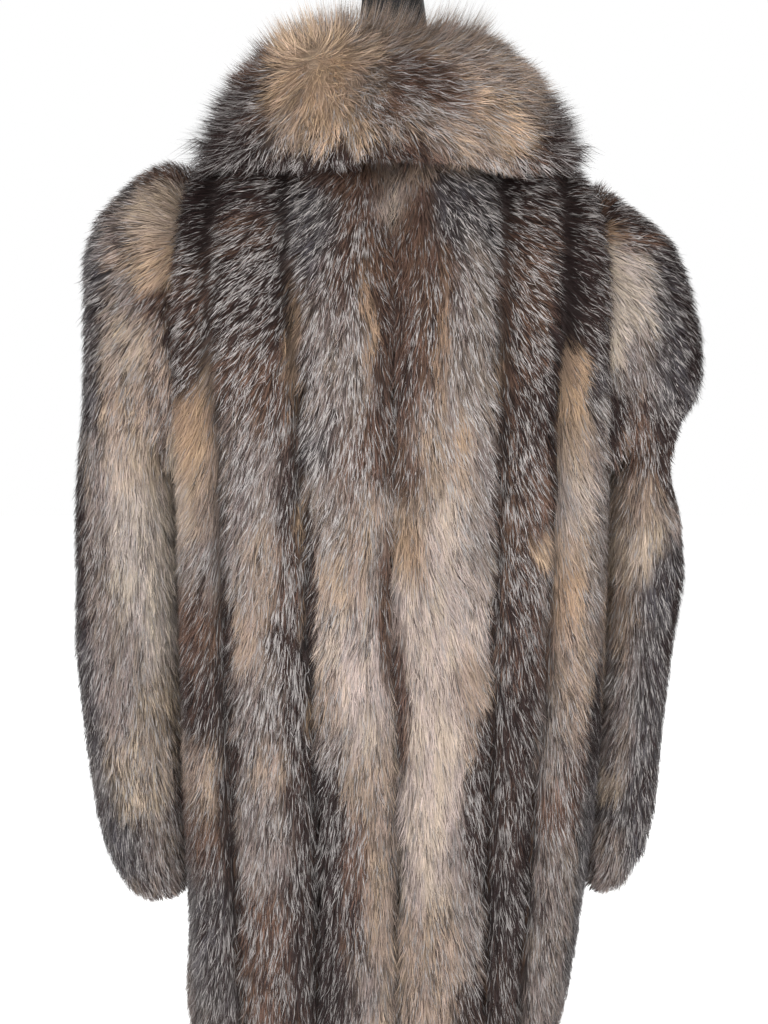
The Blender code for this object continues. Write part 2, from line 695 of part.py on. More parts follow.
# ---------------------------------------------------------------- make everything
fur_back = make_material("fur_back", (0.30, 0.22, 0.16), 0.7)
fur_sleeve = make_material("fur_sleeve", (0.42, 0.33, 0.24), 0.7)
fur_collar = make_material("fur_collar", (0.50, 0.38, 0.26), 0.7)
form_cloth = make_material("form_cloth", (0.015, 0.015, 0.016), 0.55)
form_metal = make_material("form_metal", (0.02, 0.02, 0.02), 0.35, 0.8)

for k in range(6):
    add_object(f"back_skin_{k + 1}", panel_skin("back", BACK_SEAMS, k + 1, k + 2), fur_back)
for k in range(3):
    add_object(f"front_left_skin_{k + 1}", panel_skin("front", FRONT_SEAMS, k + 1, k + 2), fur_back)
    add_object(f"front_right_skin_{k + 1}", panel_skin("front", FRONT_SEAMS, 6 - k, 7 - k), fur_back)
for hand, word in ((1, "left"), (-1, "right")):
    add_object(f"side_skin_{word}", side_skin(hand), fur_back)
    add_object(f"sleeve_{word}", sleeve(hand), fur_sleeve)
add_object("collar", collar, fur_collar)

add_object("form_torso", form_torso, form_cloth)
add_object("form_cap", turned(((0.0300, 1.6263), (0.0315, 1.6290), (0.0315, 1.6400),
                               (0.0280, 1.6450), (0.0120, 1.6480), (0.0100, 1.6540),
                               (0.0130, 1.6620), (0.0080, 1.6700))), form_metal)
add_object("form_pole", turned(((POLE_RADIUS, BASE_TOP_Z + 0.0003), (POLE_RADIUS, 0.6997)), 24), form_metal)
add_object("form_base", turned(((BASE_RADIUS, 0.0), (BASE_RADIUS, BASE_EDGE_Z),
                                (BASE_RADIUS - 0.006, BASE_EDGE_Z + 0.004),
                                (0.050, 0.019), (0.030, BASE_TOP_Z)), 64), form_metal)
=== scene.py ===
# %% [markdown]
# # A long-haired fox coat on a dress form
#
# A furrier works a fox coat in whole skins, let in as upright strips, so the back reads as
# furrows of hair with a dark line wherever two skins meet, painted here as shade. This lesson
# dresses a imported frame of plain walls: each wall becomes a pelt of leather and dense
# underfur, and then tens of thousands of tapering hairs are combed over it. Blender could also
# grow hair with particles or curves, but hair built as real faces keeps its shape and its
# colours wherever it goes.

import math

import bmesh
import bpy
import numpy as np
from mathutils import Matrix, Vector


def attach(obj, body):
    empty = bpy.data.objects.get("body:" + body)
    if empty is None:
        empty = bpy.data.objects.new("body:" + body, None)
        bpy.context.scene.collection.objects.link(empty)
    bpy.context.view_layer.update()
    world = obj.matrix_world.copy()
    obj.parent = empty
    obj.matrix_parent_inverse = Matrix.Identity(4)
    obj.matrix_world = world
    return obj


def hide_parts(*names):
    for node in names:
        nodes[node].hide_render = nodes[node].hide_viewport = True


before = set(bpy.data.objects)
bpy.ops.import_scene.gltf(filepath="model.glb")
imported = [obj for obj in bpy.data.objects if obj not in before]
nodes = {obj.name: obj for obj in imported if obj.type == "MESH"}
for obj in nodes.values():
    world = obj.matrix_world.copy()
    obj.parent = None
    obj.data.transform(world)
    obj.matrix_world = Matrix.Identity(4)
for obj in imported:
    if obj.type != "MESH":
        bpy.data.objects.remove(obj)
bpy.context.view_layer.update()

# %% [markdown]
# ## The studio
#
# The coat hangs in front of plain white, lit by a broad soft light over the camera's shoulder
# and by two fills. The camera stands behind the coat and looks a little down at it. A white
# world would fill every shadow, so what the lens sees and what lights the hair are set apart.

# %% Camera
CAMERA_PLACE = (0.009, 1.065, 1.28)
CAMERA_TILT = 80.0  # degrees up from looking straight down

scene = bpy.context.scene


def add_object(name, data):
    """An object for some data, linked to the scene."""
    made = bpy.data.objects.new(name, data)
    scene.collection.objects.link(made)
    return made


lens = bpy.data.cameras.new("camera")
lens.lens = 34.56
lens.sensor_width = 36.0
camera = add_object("camera", lens)
camera.location = CAMERA_PLACE
camera.rotation_euler = (math.radians(CAMERA_TILT), 0.0, math.radians(180.0))
scene.camera = camera
scene.view_settings.view_transform = "Standard"
print("camera at", tuple(camera.location))


# %% Lights
def softbox(name, place, aim, size, power):
    """A square area light that faces a point."""
    light = bpy.data.lights.new(name, "AREA")
    light.size = size
    light.energy = power
    holder = add_object(name, light)
    holder.location = place
    direction = Vector(aim) - Vector(place)
    holder.rotation_euler = direction.to_track_quat("-Z", "Y").to_euler()


softbox("flash", place=(0.05, 1.70, 1.38), aim=(0.0, 0.0, 1.15), size=1.0, power=28.0)
softbox("front_fill", place=(-1.2, -2.6, 2.2), aim=(0.0, 0.0, 1.0), size=1.6, power=52.0)
softbox("side_fill", place=(2.6, -0.8, 2.0), aim=(0.0, 0.0, 1.0), size=1.4, power=12.0)


# %% [markdown]
# ## Shader maths in plain Python
#
# Materials here are written as sums. A small class wraps a socket so that `a * b + 1` adds
# the Math nodes, and one method makes any other node.

# %% A wrapped socket
class Wire:
    """A shader socket that understands arithmetic."""

    def __init__(self, tree, socket):
        self.tree = tree
        self.socket = socket

    def node(self, kind, settings=None, out=0, **inputs):
        made = self.tree.nodes.new(kind)
        for key, value in (settings or {}).items():
            setattr(made, key, value)
        for key, value in inputs.items():
            place = int(key[1:]) if key[0] == "i" and key[1:].isdigit() else key.replace("_", " ")
            if isinstance(value, Wire):
                self.tree.links.new(value.socket, made.inputs[place])
            else:
                made.inputs[place].default_value = value
        return Wire(self.tree, made.outputs[out])

    def _math(self, operation, a, b=0.0):
        return self.node("ShaderNodeMath", {"operation": operation}, i0=a, i1=b)

    def __add__(self, other):
        return self._math("ADD", self, other)

    def __radd__(self, other):
        return self._math("ADD", other, self)

    def __sub__(self, other):
        return self._math("SUBTRACT", self, other)

    def __rsub__(self, other):
        return self._math("SUBTRACT", other, self)

    def __mul__(self, other):
        return self._math("MULTIPLY", self, other)

    def __rmul__(self, other):
        return self._math("MULTIPLY", other, self)

    def mix(self, low, high):
        """Colours low to high, by this value."""
        return self.node("ShaderNodeMix", {"data_type": "RGBA"}, out=2, i0=self, i6=low, i7=high)


def new_finish(name):
    """A material with its Principled shader and a wire to build from."""
    finish = bpy.data.materials.new(name)
    finish.use_nodes = True
    tree = finish.node_tree
    shader = tree.nodes["Principled BSDF"]
    place = Wire(tree, None).node("ShaderNodeTexCoord", out=3)
    return finish, tree, shader, place


def tint(red, green, blue):
    """A colour as a paint card gives it (0 to 255), made linear."""
    def line(value):
        value = value / 255.0
        return value / 12.92 if value <= 0.04045 else ((value + 0.055) / 1.055) ** 2.4
    return (line(red), line(green), line(blue), 1.0)


print("shader maths ready")

# %% The white room
ROOM_LIGHT = 0.22  # how strongly the white lights the hair; the lens sees it at full strength
FLOOR_DROP = 0.0005
FLOOR_WHITE = (0.86, 0.86, 0.86, 1.0)
FLOOR_GLOW = 0.95
WHITE = (1.0, 1.0, 1.0, 1.0)

world = bpy.data.worlds.new("room")
world.use_nodes = True
scene.world = world
room = world.node_tree
seen = Wire(room, None).node("ShaderNodeLightPath", out=0)
background = room.nodes["Background"]
background.inputs["Color"].default_value = WHITE
strength = seen * (1.0 - ROOM_LIGHT) + ROOM_LIGHT
room.links.new(strength.socket, background.inputs["Strength"])

floor_mesh = bpy.data.meshes.new("floor")
bm = bmesh.new()
bmesh.ops.create_grid(bm, x_segments=1, y_segments=1, size=6.0)
bm.to_mesh(floor_mesh)
bm.free()
floor = add_object("floor", floor_mesh)
floor.location.z = -FLOOR_DROP
floor_finish, _, shader, _ = new_finish("floor_white")
shader.inputs["Base Color"].default_value = FLOOR_WHITE
shader.inputs["Roughness"].default_value = 0.9
shader.inputs["Emission Color"].default_value = WHITE
shader.inputs["Emission Strength"].default_value = FLOOR_GLOW
floor_mesh.materials.append(floor_finish)
print("room and floor ready")

# %% [markdown]
# ## Colours of a fox
#
# A crossed fox is never one colour. The underfur is amber, tan, cream or brown in patches, and
# through it stand dark guard hairs, many of them banded with silver near the tip. Each patch
# below says which underfur lies there, how many hairs are dark, and how much silver shows.
# The patches are given in metres.

# %% The dyer's card
CARD = {
    "amber": (190, 160, 134),
    # honey is amber made lighter, partly as painted light on the collar, where the lamps only graze its top
    "honey": (210, 182, 155),
    "tan": (178, 156, 139),
    "cream": (204, 186, 174),
    "sand": (190, 171, 153),
    "ivory": (210, 195, 182),
    "grey": (150, 135, 127),
    "brown": (115, 89, 76),
    "umber": (71, 53, 47),
    "dark": (46, 35, 34),
    "slate": (92, 88, 90),
    "silver": (214, 207, 204),
}
COLOURS = {name: np.array(tint(*card)[:3]) for name, card in CARD.items()}
print("colours:", ", ".join(COLOURS))

# %% Patches on the first skin, counted from the left armhole
# In every table of patches: x, z, half width, half height, underfur, share of dark hairs,
# share of silver
FIRST_SKIN = (
    (0.182, 1.425, 0.022, 0.010, "umber", 0.80, 0.35),
    (0.183, 1.385, 0.017, 0.025, "dark", 0.86, 0.35),
    (0.185, 1.315, 0.015, 0.035, "brown", 0.64, 1.00),
    (0.192, 1.265, 0.012, 0.030, "umber", 0.58, 0.80),
    (0.174, 1.235, 0.007, 0.020, "tan", 0.20, 0.45),
    (0.183, 1.185, 0.013, 0.040, "amber", 0.06, 0.12),
    (0.180, 1.130, 0.010, 0.035, "tan", 0.10, 0.30),
    (0.198, 1.115, 0.009, 0.040, "sand", 0.22, 0.70),
    (0.189, 1.060, 0.015, 0.025, "grey", 0.34, 0.75),
    (0.191, 0.990, 0.017, 0.040, "brown", 0.50, 0.45),
    (0.190, 0.920, 0.017, 0.035, "umber", 0.70, 0.50),
    (0.190, 0.850, 0.015, 0.035, "tan", 0.44, 0.55),
    (0.193, 0.770, 0.017, 0.035, "brown", 0.44, 0.60),
    (0.186, 0.710, 0.017, 0.035, "slate", 0.74, 0.50),
    (0.189, 0.620, 0.019, 0.045, "slate", 0.66, 0.65),
)
print("patches on the first skin:", len(FIRST_SKIN))

# %% Patches on the second skin
SECOND_SKIN = (
    (0.144, 1.425, 0.029, 0.010, "umber", 0.75, 0.60),
    (0.157, 1.405, 0.019, 0.015, "dark", 0.95, 0.25),
    (0.121, 1.405, 0.019, 0.015, "umber", 0.70, 1.00),
    (0.136, 1.365, 0.027, 0.015, "brown", 0.68, 0.80),
    (0.126, 1.310, 0.032, 0.035, "umber", 0.76, 0.90),
    (0.094, 1.275, 0.007, 0.045, "amber", 0.12, 0.08),
    (0.095, 1.330, 0.006, 0.010, "brown", 0.50, 0.40),
    (0.141, 1.230, 0.022, 0.035, "brown", 0.50, 0.90),
    (0.111, 1.220, 0.017, 0.035, "brown", 0.50, 0.80),
    (0.091, 1.195, 0.006, 0.030, "brown", 0.50, 0.50),
    (0.151, 1.150, 0.013, 0.045, "grey", 0.58, 0.80),
    (0.124, 1.155, 0.018, 0.040, "grey", 0.44, 0.85),
    (0.100, 1.130, 0.009, 0.040, "umber", 0.58, 0.80),
    (0.089, 1.100, 0.005, 0.020, "amber", 0.25, 0.20),
    (0.147, 1.075, 0.017, 0.030, "grey", 0.42, 0.80),
    (0.124, 1.065, 0.011, 0.025, "tan", 0.32, 0.65),
    (0.103, 1.045, 0.011, 0.025, "brown", 0.52, 0.85),
    (0.136, 1.010, 0.012, 0.045, "tan", 0.26, 0.60),
    (0.104, 0.995, 0.015, 0.045, "umber", 0.56, 0.95),
    (0.085, 1.015, 0.004, 0.020, "amber", 0.32, 0.20),
    (0.161, 0.985, 0.008, 0.085, "umber", 0.62, 0.45),
    (0.132, 0.925, 0.020, 0.035, "grey", 0.64, 0.75),
    (0.097, 0.930, 0.013, 0.035, "umber", 0.70, 0.85),
    (0.084, 0.915, 0.004, 0.015, "amber", 0.28, 0.10),
    (0.164, 0.800, 0.008, 0.075, "umber", 0.66, 0.40),
    (0.118, 0.865, 0.011, 0.020, "tan", 0.36, 0.60),
    (0.089, 0.835, 0.011, 0.040, "umber", 0.72, 0.65),
    (0.129, 0.790, 0.020, 0.035, "grey", 0.52, 0.65),
    (0.092, 0.745, 0.013, 0.045, "umber", 0.78, 0.55),
    (0.134, 0.680, 0.022, 0.045, "brown", 0.60, 0.70),
    (0.092, 0.640, 0.015, 0.045, "umber", 0.80, 0.45),
)
print("patches on the second skin:", len(SECOND_SKIN))

# %% Patches on the third skin
THIRD_SKIN = (
    (0.044, 1.425, 0.043, 0.010, "brown", 0.32, 0.35),
    (0.078, 1.390, 0.027, 0.030, "slate", 0.56, 1.00),
    (0.038, 1.380, 0.017, 0.030, "brown", 0.48, 0.95),
    (0.013, 1.370, 0.011, 0.030, "brown", 0.42, 0.60),
    (0.078, 1.350, 0.019, 0.025, "slate", 0.58, 1.00),
    (0.044, 1.325, 0.020, 0.025, "brown", 0.45, 0.95),
    (0.067, 1.265, 0.017, 0.055, "grey", 0.55, 1.00),
    (0.040, 1.250, 0.013, 0.050, "grey", 0.48, 1.00),
    (0.024, 1.295, 0.005, 0.035, "amber", 0.28, 0.15),
    (0.009, 1.270, 0.007, 0.055, "brown", 0.45, 0.55),
    (0.016, 1.200, 0.013, 0.030, "brown", 0.48, 0.80),
    (0.070, 1.190, 0.016, 0.025, "slate", 0.52, 1.00),
    (0.040, 1.175, 0.020, 0.030, "brown", 0.40, 0.95),
    (0.061, 1.130, 0.018, 0.025, "grey", 0.45, 0.90),
    (0.029, 1.120, 0.018, 0.030, "tan", 0.42, 0.80),
    (0.078, 1.090, 0.006, 0.035, "umber", 0.75, 0.60),
    (0.046, 1.055, 0.018, 0.035, "tan", 0.24, 0.65),
    (0.020, 1.065, 0.005, 0.035, "grey", 0.48, 0.65),
    (0.009, 1.030, 0.005, 0.055, "brown", 0.45, 0.55),
    (0.046, 0.995, 0.018, 0.040, "cream", 0.32, 0.50),
    (0.078, 1.000, 0.006, 0.050, "umber", 0.88, 0.35),
    (0.030, 0.925, 0.016, 0.040, "cream", 0.16, 0.35),
    (0.061, 0.940, 0.013, 0.025, "tan", 0.42, 0.65),
    (0.058, 0.890, 0.013, 0.015, "grey", 0.48, 0.80),
    (0.062, 0.820, 0.013, 0.045, "dark", 0.84, 0.60),
    (0.030, 0.845, 0.013, 0.025, "tan", 0.34, 0.60),
    (0.012, 0.785, 0.008, 0.080, "tan", 0.44, 0.40),
    (0.041, 0.775, 0.009, 0.035, "brown", 0.52, 0.70),
    (0.066, 0.740, 0.013, 0.035, "dark", 0.86, 0.55),
    # a larger dark share, partly painted shade where the light falls off low on the back
    (0.041, 0.705, 0.013, 0.035, "brown", 0.76, 0.55),
    (0.017, 0.705, 0.011, 0.040, "tan", 0.30, 0.35),
    (0.062, 0.620, 0.017, 0.045, "dark", 0.88, 0.35),
    (0.031, 0.625, 0.015, 0.035, "grey", 0.54, 0.55),
)
print("patches on the third skin:", len(THIRD_SKIN))

# %% Patches on the fourth skin
FOURTH_SKIN = (
    # tan rather than brown just below the collar: painted light against the shadow that the collar casts here
    (-0.020, 1.430, 0.029, 0.010, "tan", 0.30, 0.30),
    (0.004, 1.410, 0.012, 0.020, "cream", 0.10, 0.25),
    (-0.007, 1.370, 0.010, 0.035, "brown", 0.34, 0.45),
    (-0.027, 1.370, 0.010, 0.036, "brown", 0.20, 0.30),
    (-0.056, 1.390, 0.021, 0.030, "slate", 0.54, 1.00),
    (-0.085, 1.380, 0.008, 0.040, "slate", 0.52, 1.00),
    (-0.073, 1.335, 0.015, 0.020, "grey", 0.40, 1.00),
    (-0.044, 1.340, 0.009, 0.020, "brown", 0.46, 0.65),
    (-0.010, 1.290, 0.009, 0.035, "brown", 0.40, 0.40),
    (-0.031, 1.290, 0.011, 0.045, "brown", 0.40, 0.85),
    (-0.043, 1.280, 0.005, 0.050, "amber", 0.28, 0.20),
    (-0.067, 1.280, 0.017, 0.035, "grey", 0.30, 1.00),
    (-0.085, 1.245, 0.006, 0.055, "grey", 0.34, 1.00),
    (-0.060, 1.230, 0.016, 0.035, "grey", 0.24, 1.00),
    (-0.015, 1.225, 0.011, 0.035, "brown", 0.44, 0.70),
    (-0.062, 1.200, 0.007, 0.015, "amber", 0.20, 0.40),
    (-0.031, 1.200, 0.013, 0.025, "tan", 0.42, 0.85),
    (-0.055, 1.168, 0.016, 0.025, "tan", 0.26, 0.80),
    (-0.017, 1.160, 0.011, 0.025, "brown", 0.40, 0.70),
    (-0.078, 1.150, 0.011, 0.030, "grey", 0.28, 0.95),
    (-0.024, 1.125, 0.015, 0.020, "tan", 0.22, 0.45),
    (-0.017, 1.085, 0.012, 0.020, "amber", 0.10, 0.20),
    (-0.050, 1.105, 0.016, 0.025, "cream", 0.22, 0.60),
    (-0.081, 1.090, 0.009, 0.035, "grey", 0.36, 0.70),
    (-0.048, 1.050, 0.018, 0.030, "cream", 0.20, 0.55),
    (-0.016, 1.035, 0.011, 0.030, "cream", 0.18, 0.35),
    (-0.082, 1.025, 0.009, 0.035, "cream", 0.32, 0.60),
    (-0.041, 0.980, 0.016, 0.035, "cream", 0.14, 0.30),
    (-0.073, 0.960, 0.013, 0.025, "tan", 0.24, 0.45),
    (-0.008, 0.970, 0.005, 0.045, "brown", 0.45, 0.45),
    (-0.041, 0.910, 0.018, 0.030, "cream", 0.22, 0.20),
    (-0.011, 0.905, 0.005, 0.035, "brown", 0.50, 0.35),
    (-0.072, 0.895, 0.005, 0.025, "tan", 0.40, 0.60),
    (-0.038, 0.840, 0.018, 0.035, "cream", 0.14, 0.30),
    (-0.079, 0.830, 0.006, 0.055, "umber", 0.70, 0.70),
    (-0.036, 0.765, 0.018, 0.035, "cream", 0.26, 0.25),
    (-0.063, 0.755, 0.008, 0.045, "grey", 0.42, 0.60),
    # a larger dark share, partly painted shade where the light falls off low on the back
    (-0.043, 0.685, 0.018, 0.035, "tan", 0.42, 0.50),
    (-0.015, 0.660, 0.011, 0.040, "tan", 0.34, 0.35),
    (-0.074, 0.690, 0.009, 0.040, "grey", 0.52, 0.70),
    (-0.077, 0.610, 0.013, 0.025, "umber", 0.72, 0.50),
    (-0.036, 0.605, 0.018, 0.030, "tan", 0.42, 0.45),
)
print("patches on the fourth skin:", len(FOURTH_SKIN))

# %% Patches on the fifth skin
FIFTH_SKIN = (
    (-0.117, 1.415, 0.023, 0.015, "dark", 0.85, 0.60),
    (-0.116, 1.385, 0.017, 0.015, "umber", 0.75, 1.00),
    (-0.137, 1.375, 0.015, 0.020, "brown", 0.70, 0.65),
    (-0.100, 1.330, 0.005, 0.020, "brown", 0.30, 0.15),
    (-0.120, 1.325, 0.017, 0.035, "brown", 0.60, 1.00),
    (-0.100, 1.255, 0.005, 0.020, "amber", 0.36, 0.20),
    (-0.121, 1.270, 0.016, 0.030, "brown", 0.62, 0.85),
    (-0.130, 1.220, 0.015, 0.030, "umber", 0.74, 0.55),
    (-0.104, 1.195, 0.006, 0.030, "brown", 0.60, 0.45),
    (-0.117, 1.175, 0.015, 0.030, "brown", 0.74, 0.85),
    (-0.137, 1.155, 0.008, 0.025, "brown", 0.36, 0.50),
    (-0.117, 1.120, 0.018, 0.020, "brown", 0.54, 0.80),
    (-0.116, 1.060, 0.016, 0.035, "brown", 0.68, 0.80),
    (-0.114, 0.995, 0.018, 0.035, "brown", 0.76, 0.60),
    (-0.111, 0.905, 0.016, 0.045, "umber", 0.76, 0.50),
    (-0.109, 0.810, 0.016, 0.035, "umber", 0.72, 0.60),
    # a larger dark share, partly painted shade where the light falls off low on the back
    (-0.116, 0.725, 0.015, 0.035, "dark", 0.88, 0.50),
    (-0.115, 0.635, 0.015, 0.035, "umber", 0.72, 0.55),
)
print("patches on the fifth skin:", len(FIFTH_SKIN))

# %% Patches on the sixth skin
SIXTH_SKIN = (
    (-0.157, 1.395, 0.020, 0.020, "umber", 0.80, 0.60),
    (-0.187, 1.395, 0.012, 0.030, "umber", 0.78, 0.85),
    (-0.182, 1.345, 0.011, 0.035, "umber", 0.80, 0.60),
    (-0.161, 1.320, 0.013, 0.040, "dark", 0.96, 0.10),
    (-0.189, 1.300, 0.008, 0.045, "umber", 0.72, 0.70),
    (-0.168, 1.230, 0.011, 0.030, "amber", 0.08, 0.15),
    (-0.189, 1.235, 0.006, 0.040, "slate", 0.55, 0.90),
    (-0.148, 1.205, 0.005, 0.065, "umber", 0.88, 0.25),
    (-0.172, 1.180, 0.013, 0.025, "tan", 0.10, 0.40),
    (-0.194, 1.170, 0.006, 0.035, "grey", 0.45, 0.85),
    (-0.174, 1.135, 0.013, 0.025, "cream", 0.18, 0.55),
    (-0.198, 1.110, 0.006, 0.035, "grey", 0.50, 0.75),
    (-0.169, 1.090, 0.011, 0.020, "tan", 0.18, 0.60),
    (-0.148, 1.080, 0.010, 0.025, "honey", 0.08, 0.20),
    (-0.169, 1.035, 0.011, 0.030, "amber", 0.18, 0.35),
    (-0.189, 1.040, 0.007, 0.035, "grey", 0.36, 0.85),
    (-0.147, 1.030, 0.006, 0.035, "grey", 0.50, 0.70),
    (-0.179, 0.985, 0.013, 0.030, "tan", 0.40, 0.45),
    (-0.149, 0.970, 0.007, 0.035, "brown", 0.40, 0.50),
    (-0.174, 0.930, 0.013, 0.030, "tan", 0.42, 0.55),
    (-0.198, 0.890, 0.005, 0.055, "dark", 0.80, 0.35),
    (-0.157, 0.890, 0.013, 0.035, "grey", 0.50, 0.65),
    (-0.168, 0.825, 0.014, 0.035, "brown", 0.42, 0.75),
    (-0.193, 0.790, 0.008, 0.045, "slate", 0.58, 0.55),
    (-0.164, 0.740, 0.015, 0.035, "grey", 0.56, 0.60),
    (-0.190, 0.650, 0.008, 0.045, "slate", 0.75, 0.45),
    (-0.157, 0.650, 0.013, 0.045, "grey", 0.56, 0.60),
)
print("patches on the sixth skin:", len(SIXTH_SKIN))

# %% Patches low down, where the skins run out to the hem
LOW_DOWN = (
    (0.190, 0.500, 0.022, 0.090, "grey", 0.58, 0.55),
    (0.192, 0.330, 0.024, 0.100, "brown", 0.55, 0.50),
    (0.118, 0.480, 0.030, 0.090, "brown", 0.42, 0.60),
    (0.110, 0.320, 0.034, 0.090, "grey", 0.58, 0.60),
    (0.066, 0.440, 0.014, 0.140, "dark", 0.80, 0.50),
    (0.024, 0.480, 0.020, 0.100, "tan", 0.38, 0.40),
    (0.030, 0.310, 0.028, 0.090, "grey", 0.55, 0.60),
    (-0.044, 0.480, 0.034, 0.090, "tan", 0.35, 0.45),
    (-0.044, 0.310, 0.036, 0.090, "cream", 0.40, 0.50),
    (-0.106, 0.450, 0.020, 0.110, "umber", 0.78, 0.50),
    (-0.104, 0.300, 0.020, 0.080, "brown", 0.70, 0.50),
    (-0.146, 0.480, 0.022, 0.100, "grey", 0.56, 0.50),
    (-0.142, 0.310, 0.024, 0.090, "brown", 0.60, 0.50),
)
BACK_PATCHES = (
    FIRST_SKIN + SECOND_SKIN + THIRD_SKIN + FOURTH_SKIN
    + FIFTH_SKIN + SIXTH_SKIN + LOW_DOWN
)
print("patches on the back and, turned round, on the fronts:", len(BACK_PATCHES))

# %% Patches on the left sleeve
LEFT_SLEEVE_PATCHES = (
    (0.240, 1.440, 0.025, 0.010, "brown", 0.50, 0.60),
    (0.272, 1.415, 0.016, 0.015, "slate", 0.60, 0.60),
    (0.220, 1.415, 0.016, 0.012, "sand", 0.12, 0.30),
    (0.222, 1.388, 0.022, 0.022, "sand", 0.05, 0.15),
    (0.268, 1.390, 0.012, 0.020, "grey", 0.60, 0.65),
    (0.296, 1.355, 0.009, 0.030, "slate", 0.42, 0.85),
    (0.255, 1.360, 0.015, 0.010, "tan", 0.36, 0.50),
    (0.222, 1.350, 0.020, 0.024, "honey", 0.06, 0.25),
    (0.261, 1.330, 0.012, 0.010, "grey", 0.56, 0.70),
    (0.294, 1.295, 0.008, 0.040, "slate", 0.80, 0.55),
    (0.264, 1.305, 0.012, 0.015, "grey", 0.56, 0.60),
    (0.230, 1.300, 0.014, 0.015, "brown", 0.56, 0.55),
    (0.262, 1.265, 0.020, 0.025, "sand", 0.36, 0.45),
    (0.233, 1.255, 0.012, 0.025, "tan", 0.38, 0.60),
    (0.218, 1.300, 0.008, 0.040, "umber", 0.82, 0.40),
    (0.299, 1.230, 0.008, 0.045, "slate", 0.72, 0.60),
    (0.274, 1.220, 0.014, 0.020, "tan", 0.42, 0.60),
    (0.245, 1.220, 0.016, 0.015, "tan", 0.38, 0.60),
    (0.256, 1.190, 0.020, 0.010, "tan", 0.44, 0.60),
    (0.263, 1.155, 0.026, 0.030, "sand", 0.18, 0.50),
    (0.257, 1.105, 0.024, 0.040, "ivory", 0.20, 0.50),
    (0.296, 1.140, 0.010, 0.035, "grey", 0.36, 0.60),
    (0.300, 1.080, 0.009, 0.030, "grey", 0.56, 0.60),
    (0.319, 1.120, 0.005, 0.060, "dark", 0.80, 0.40),
    (0.326, 1.020, 0.006, 0.060, "slate", 0.85, 0.40),
    (0.256, 1.035, 0.022, 0.030, "ivory", 0.20, 0.50),
    (0.302, 1.015, 0.010, 0.040, "grey", 0.58, 0.60),
    (0.252, 0.975, 0.015, 0.035, "ivory", 0.20, 0.45),
    (0.286, 0.970, 0.014, 0.035, "grey", 0.36, 0.60),
    (0.325, 0.925, 0.008, 0.050, "slate", 0.75, 0.45),
    (0.289, 0.905, 0.020, 0.030, "grey", 0.48, 0.65),
    (0.258, 0.875, 0.015, 0.035, "sand", 0.44, 0.55),
    (0.317, 0.855, 0.009, 0.050, "slate", 0.56, 0.55),
    (0.280, 0.810, 0.022, 0.035, "sand", 0.54, 0.60),
    (0.309, 0.755, 0.008, 0.040, "slate", 0.62, 0.50),
    (0.258, 0.725, 0.017, 0.030, "grey", 0.56, 0.60),
    (0.293, 0.720, 0.016, 0.030, "slate", 0.56, 0.60),
    (0.272, 0.670, 0.025, 0.010, "grey", 0.64, 0.55),
    # narrow umber strips along the sleeve's inner edge: painted shade between the sleeve and the body
    (0.233, 1.135, 0.005, 0.050, "umber", 0.72, 0.40),
    (0.234, 1.005, 0.005, 0.060, "umber", 0.68, 0.40),
    (0.242, 0.815, 0.005, 0.075, "umber", 0.64, 0.40),
)
print("patches on the left sleeve:", len(LEFT_SLEEVE_PATCHES))

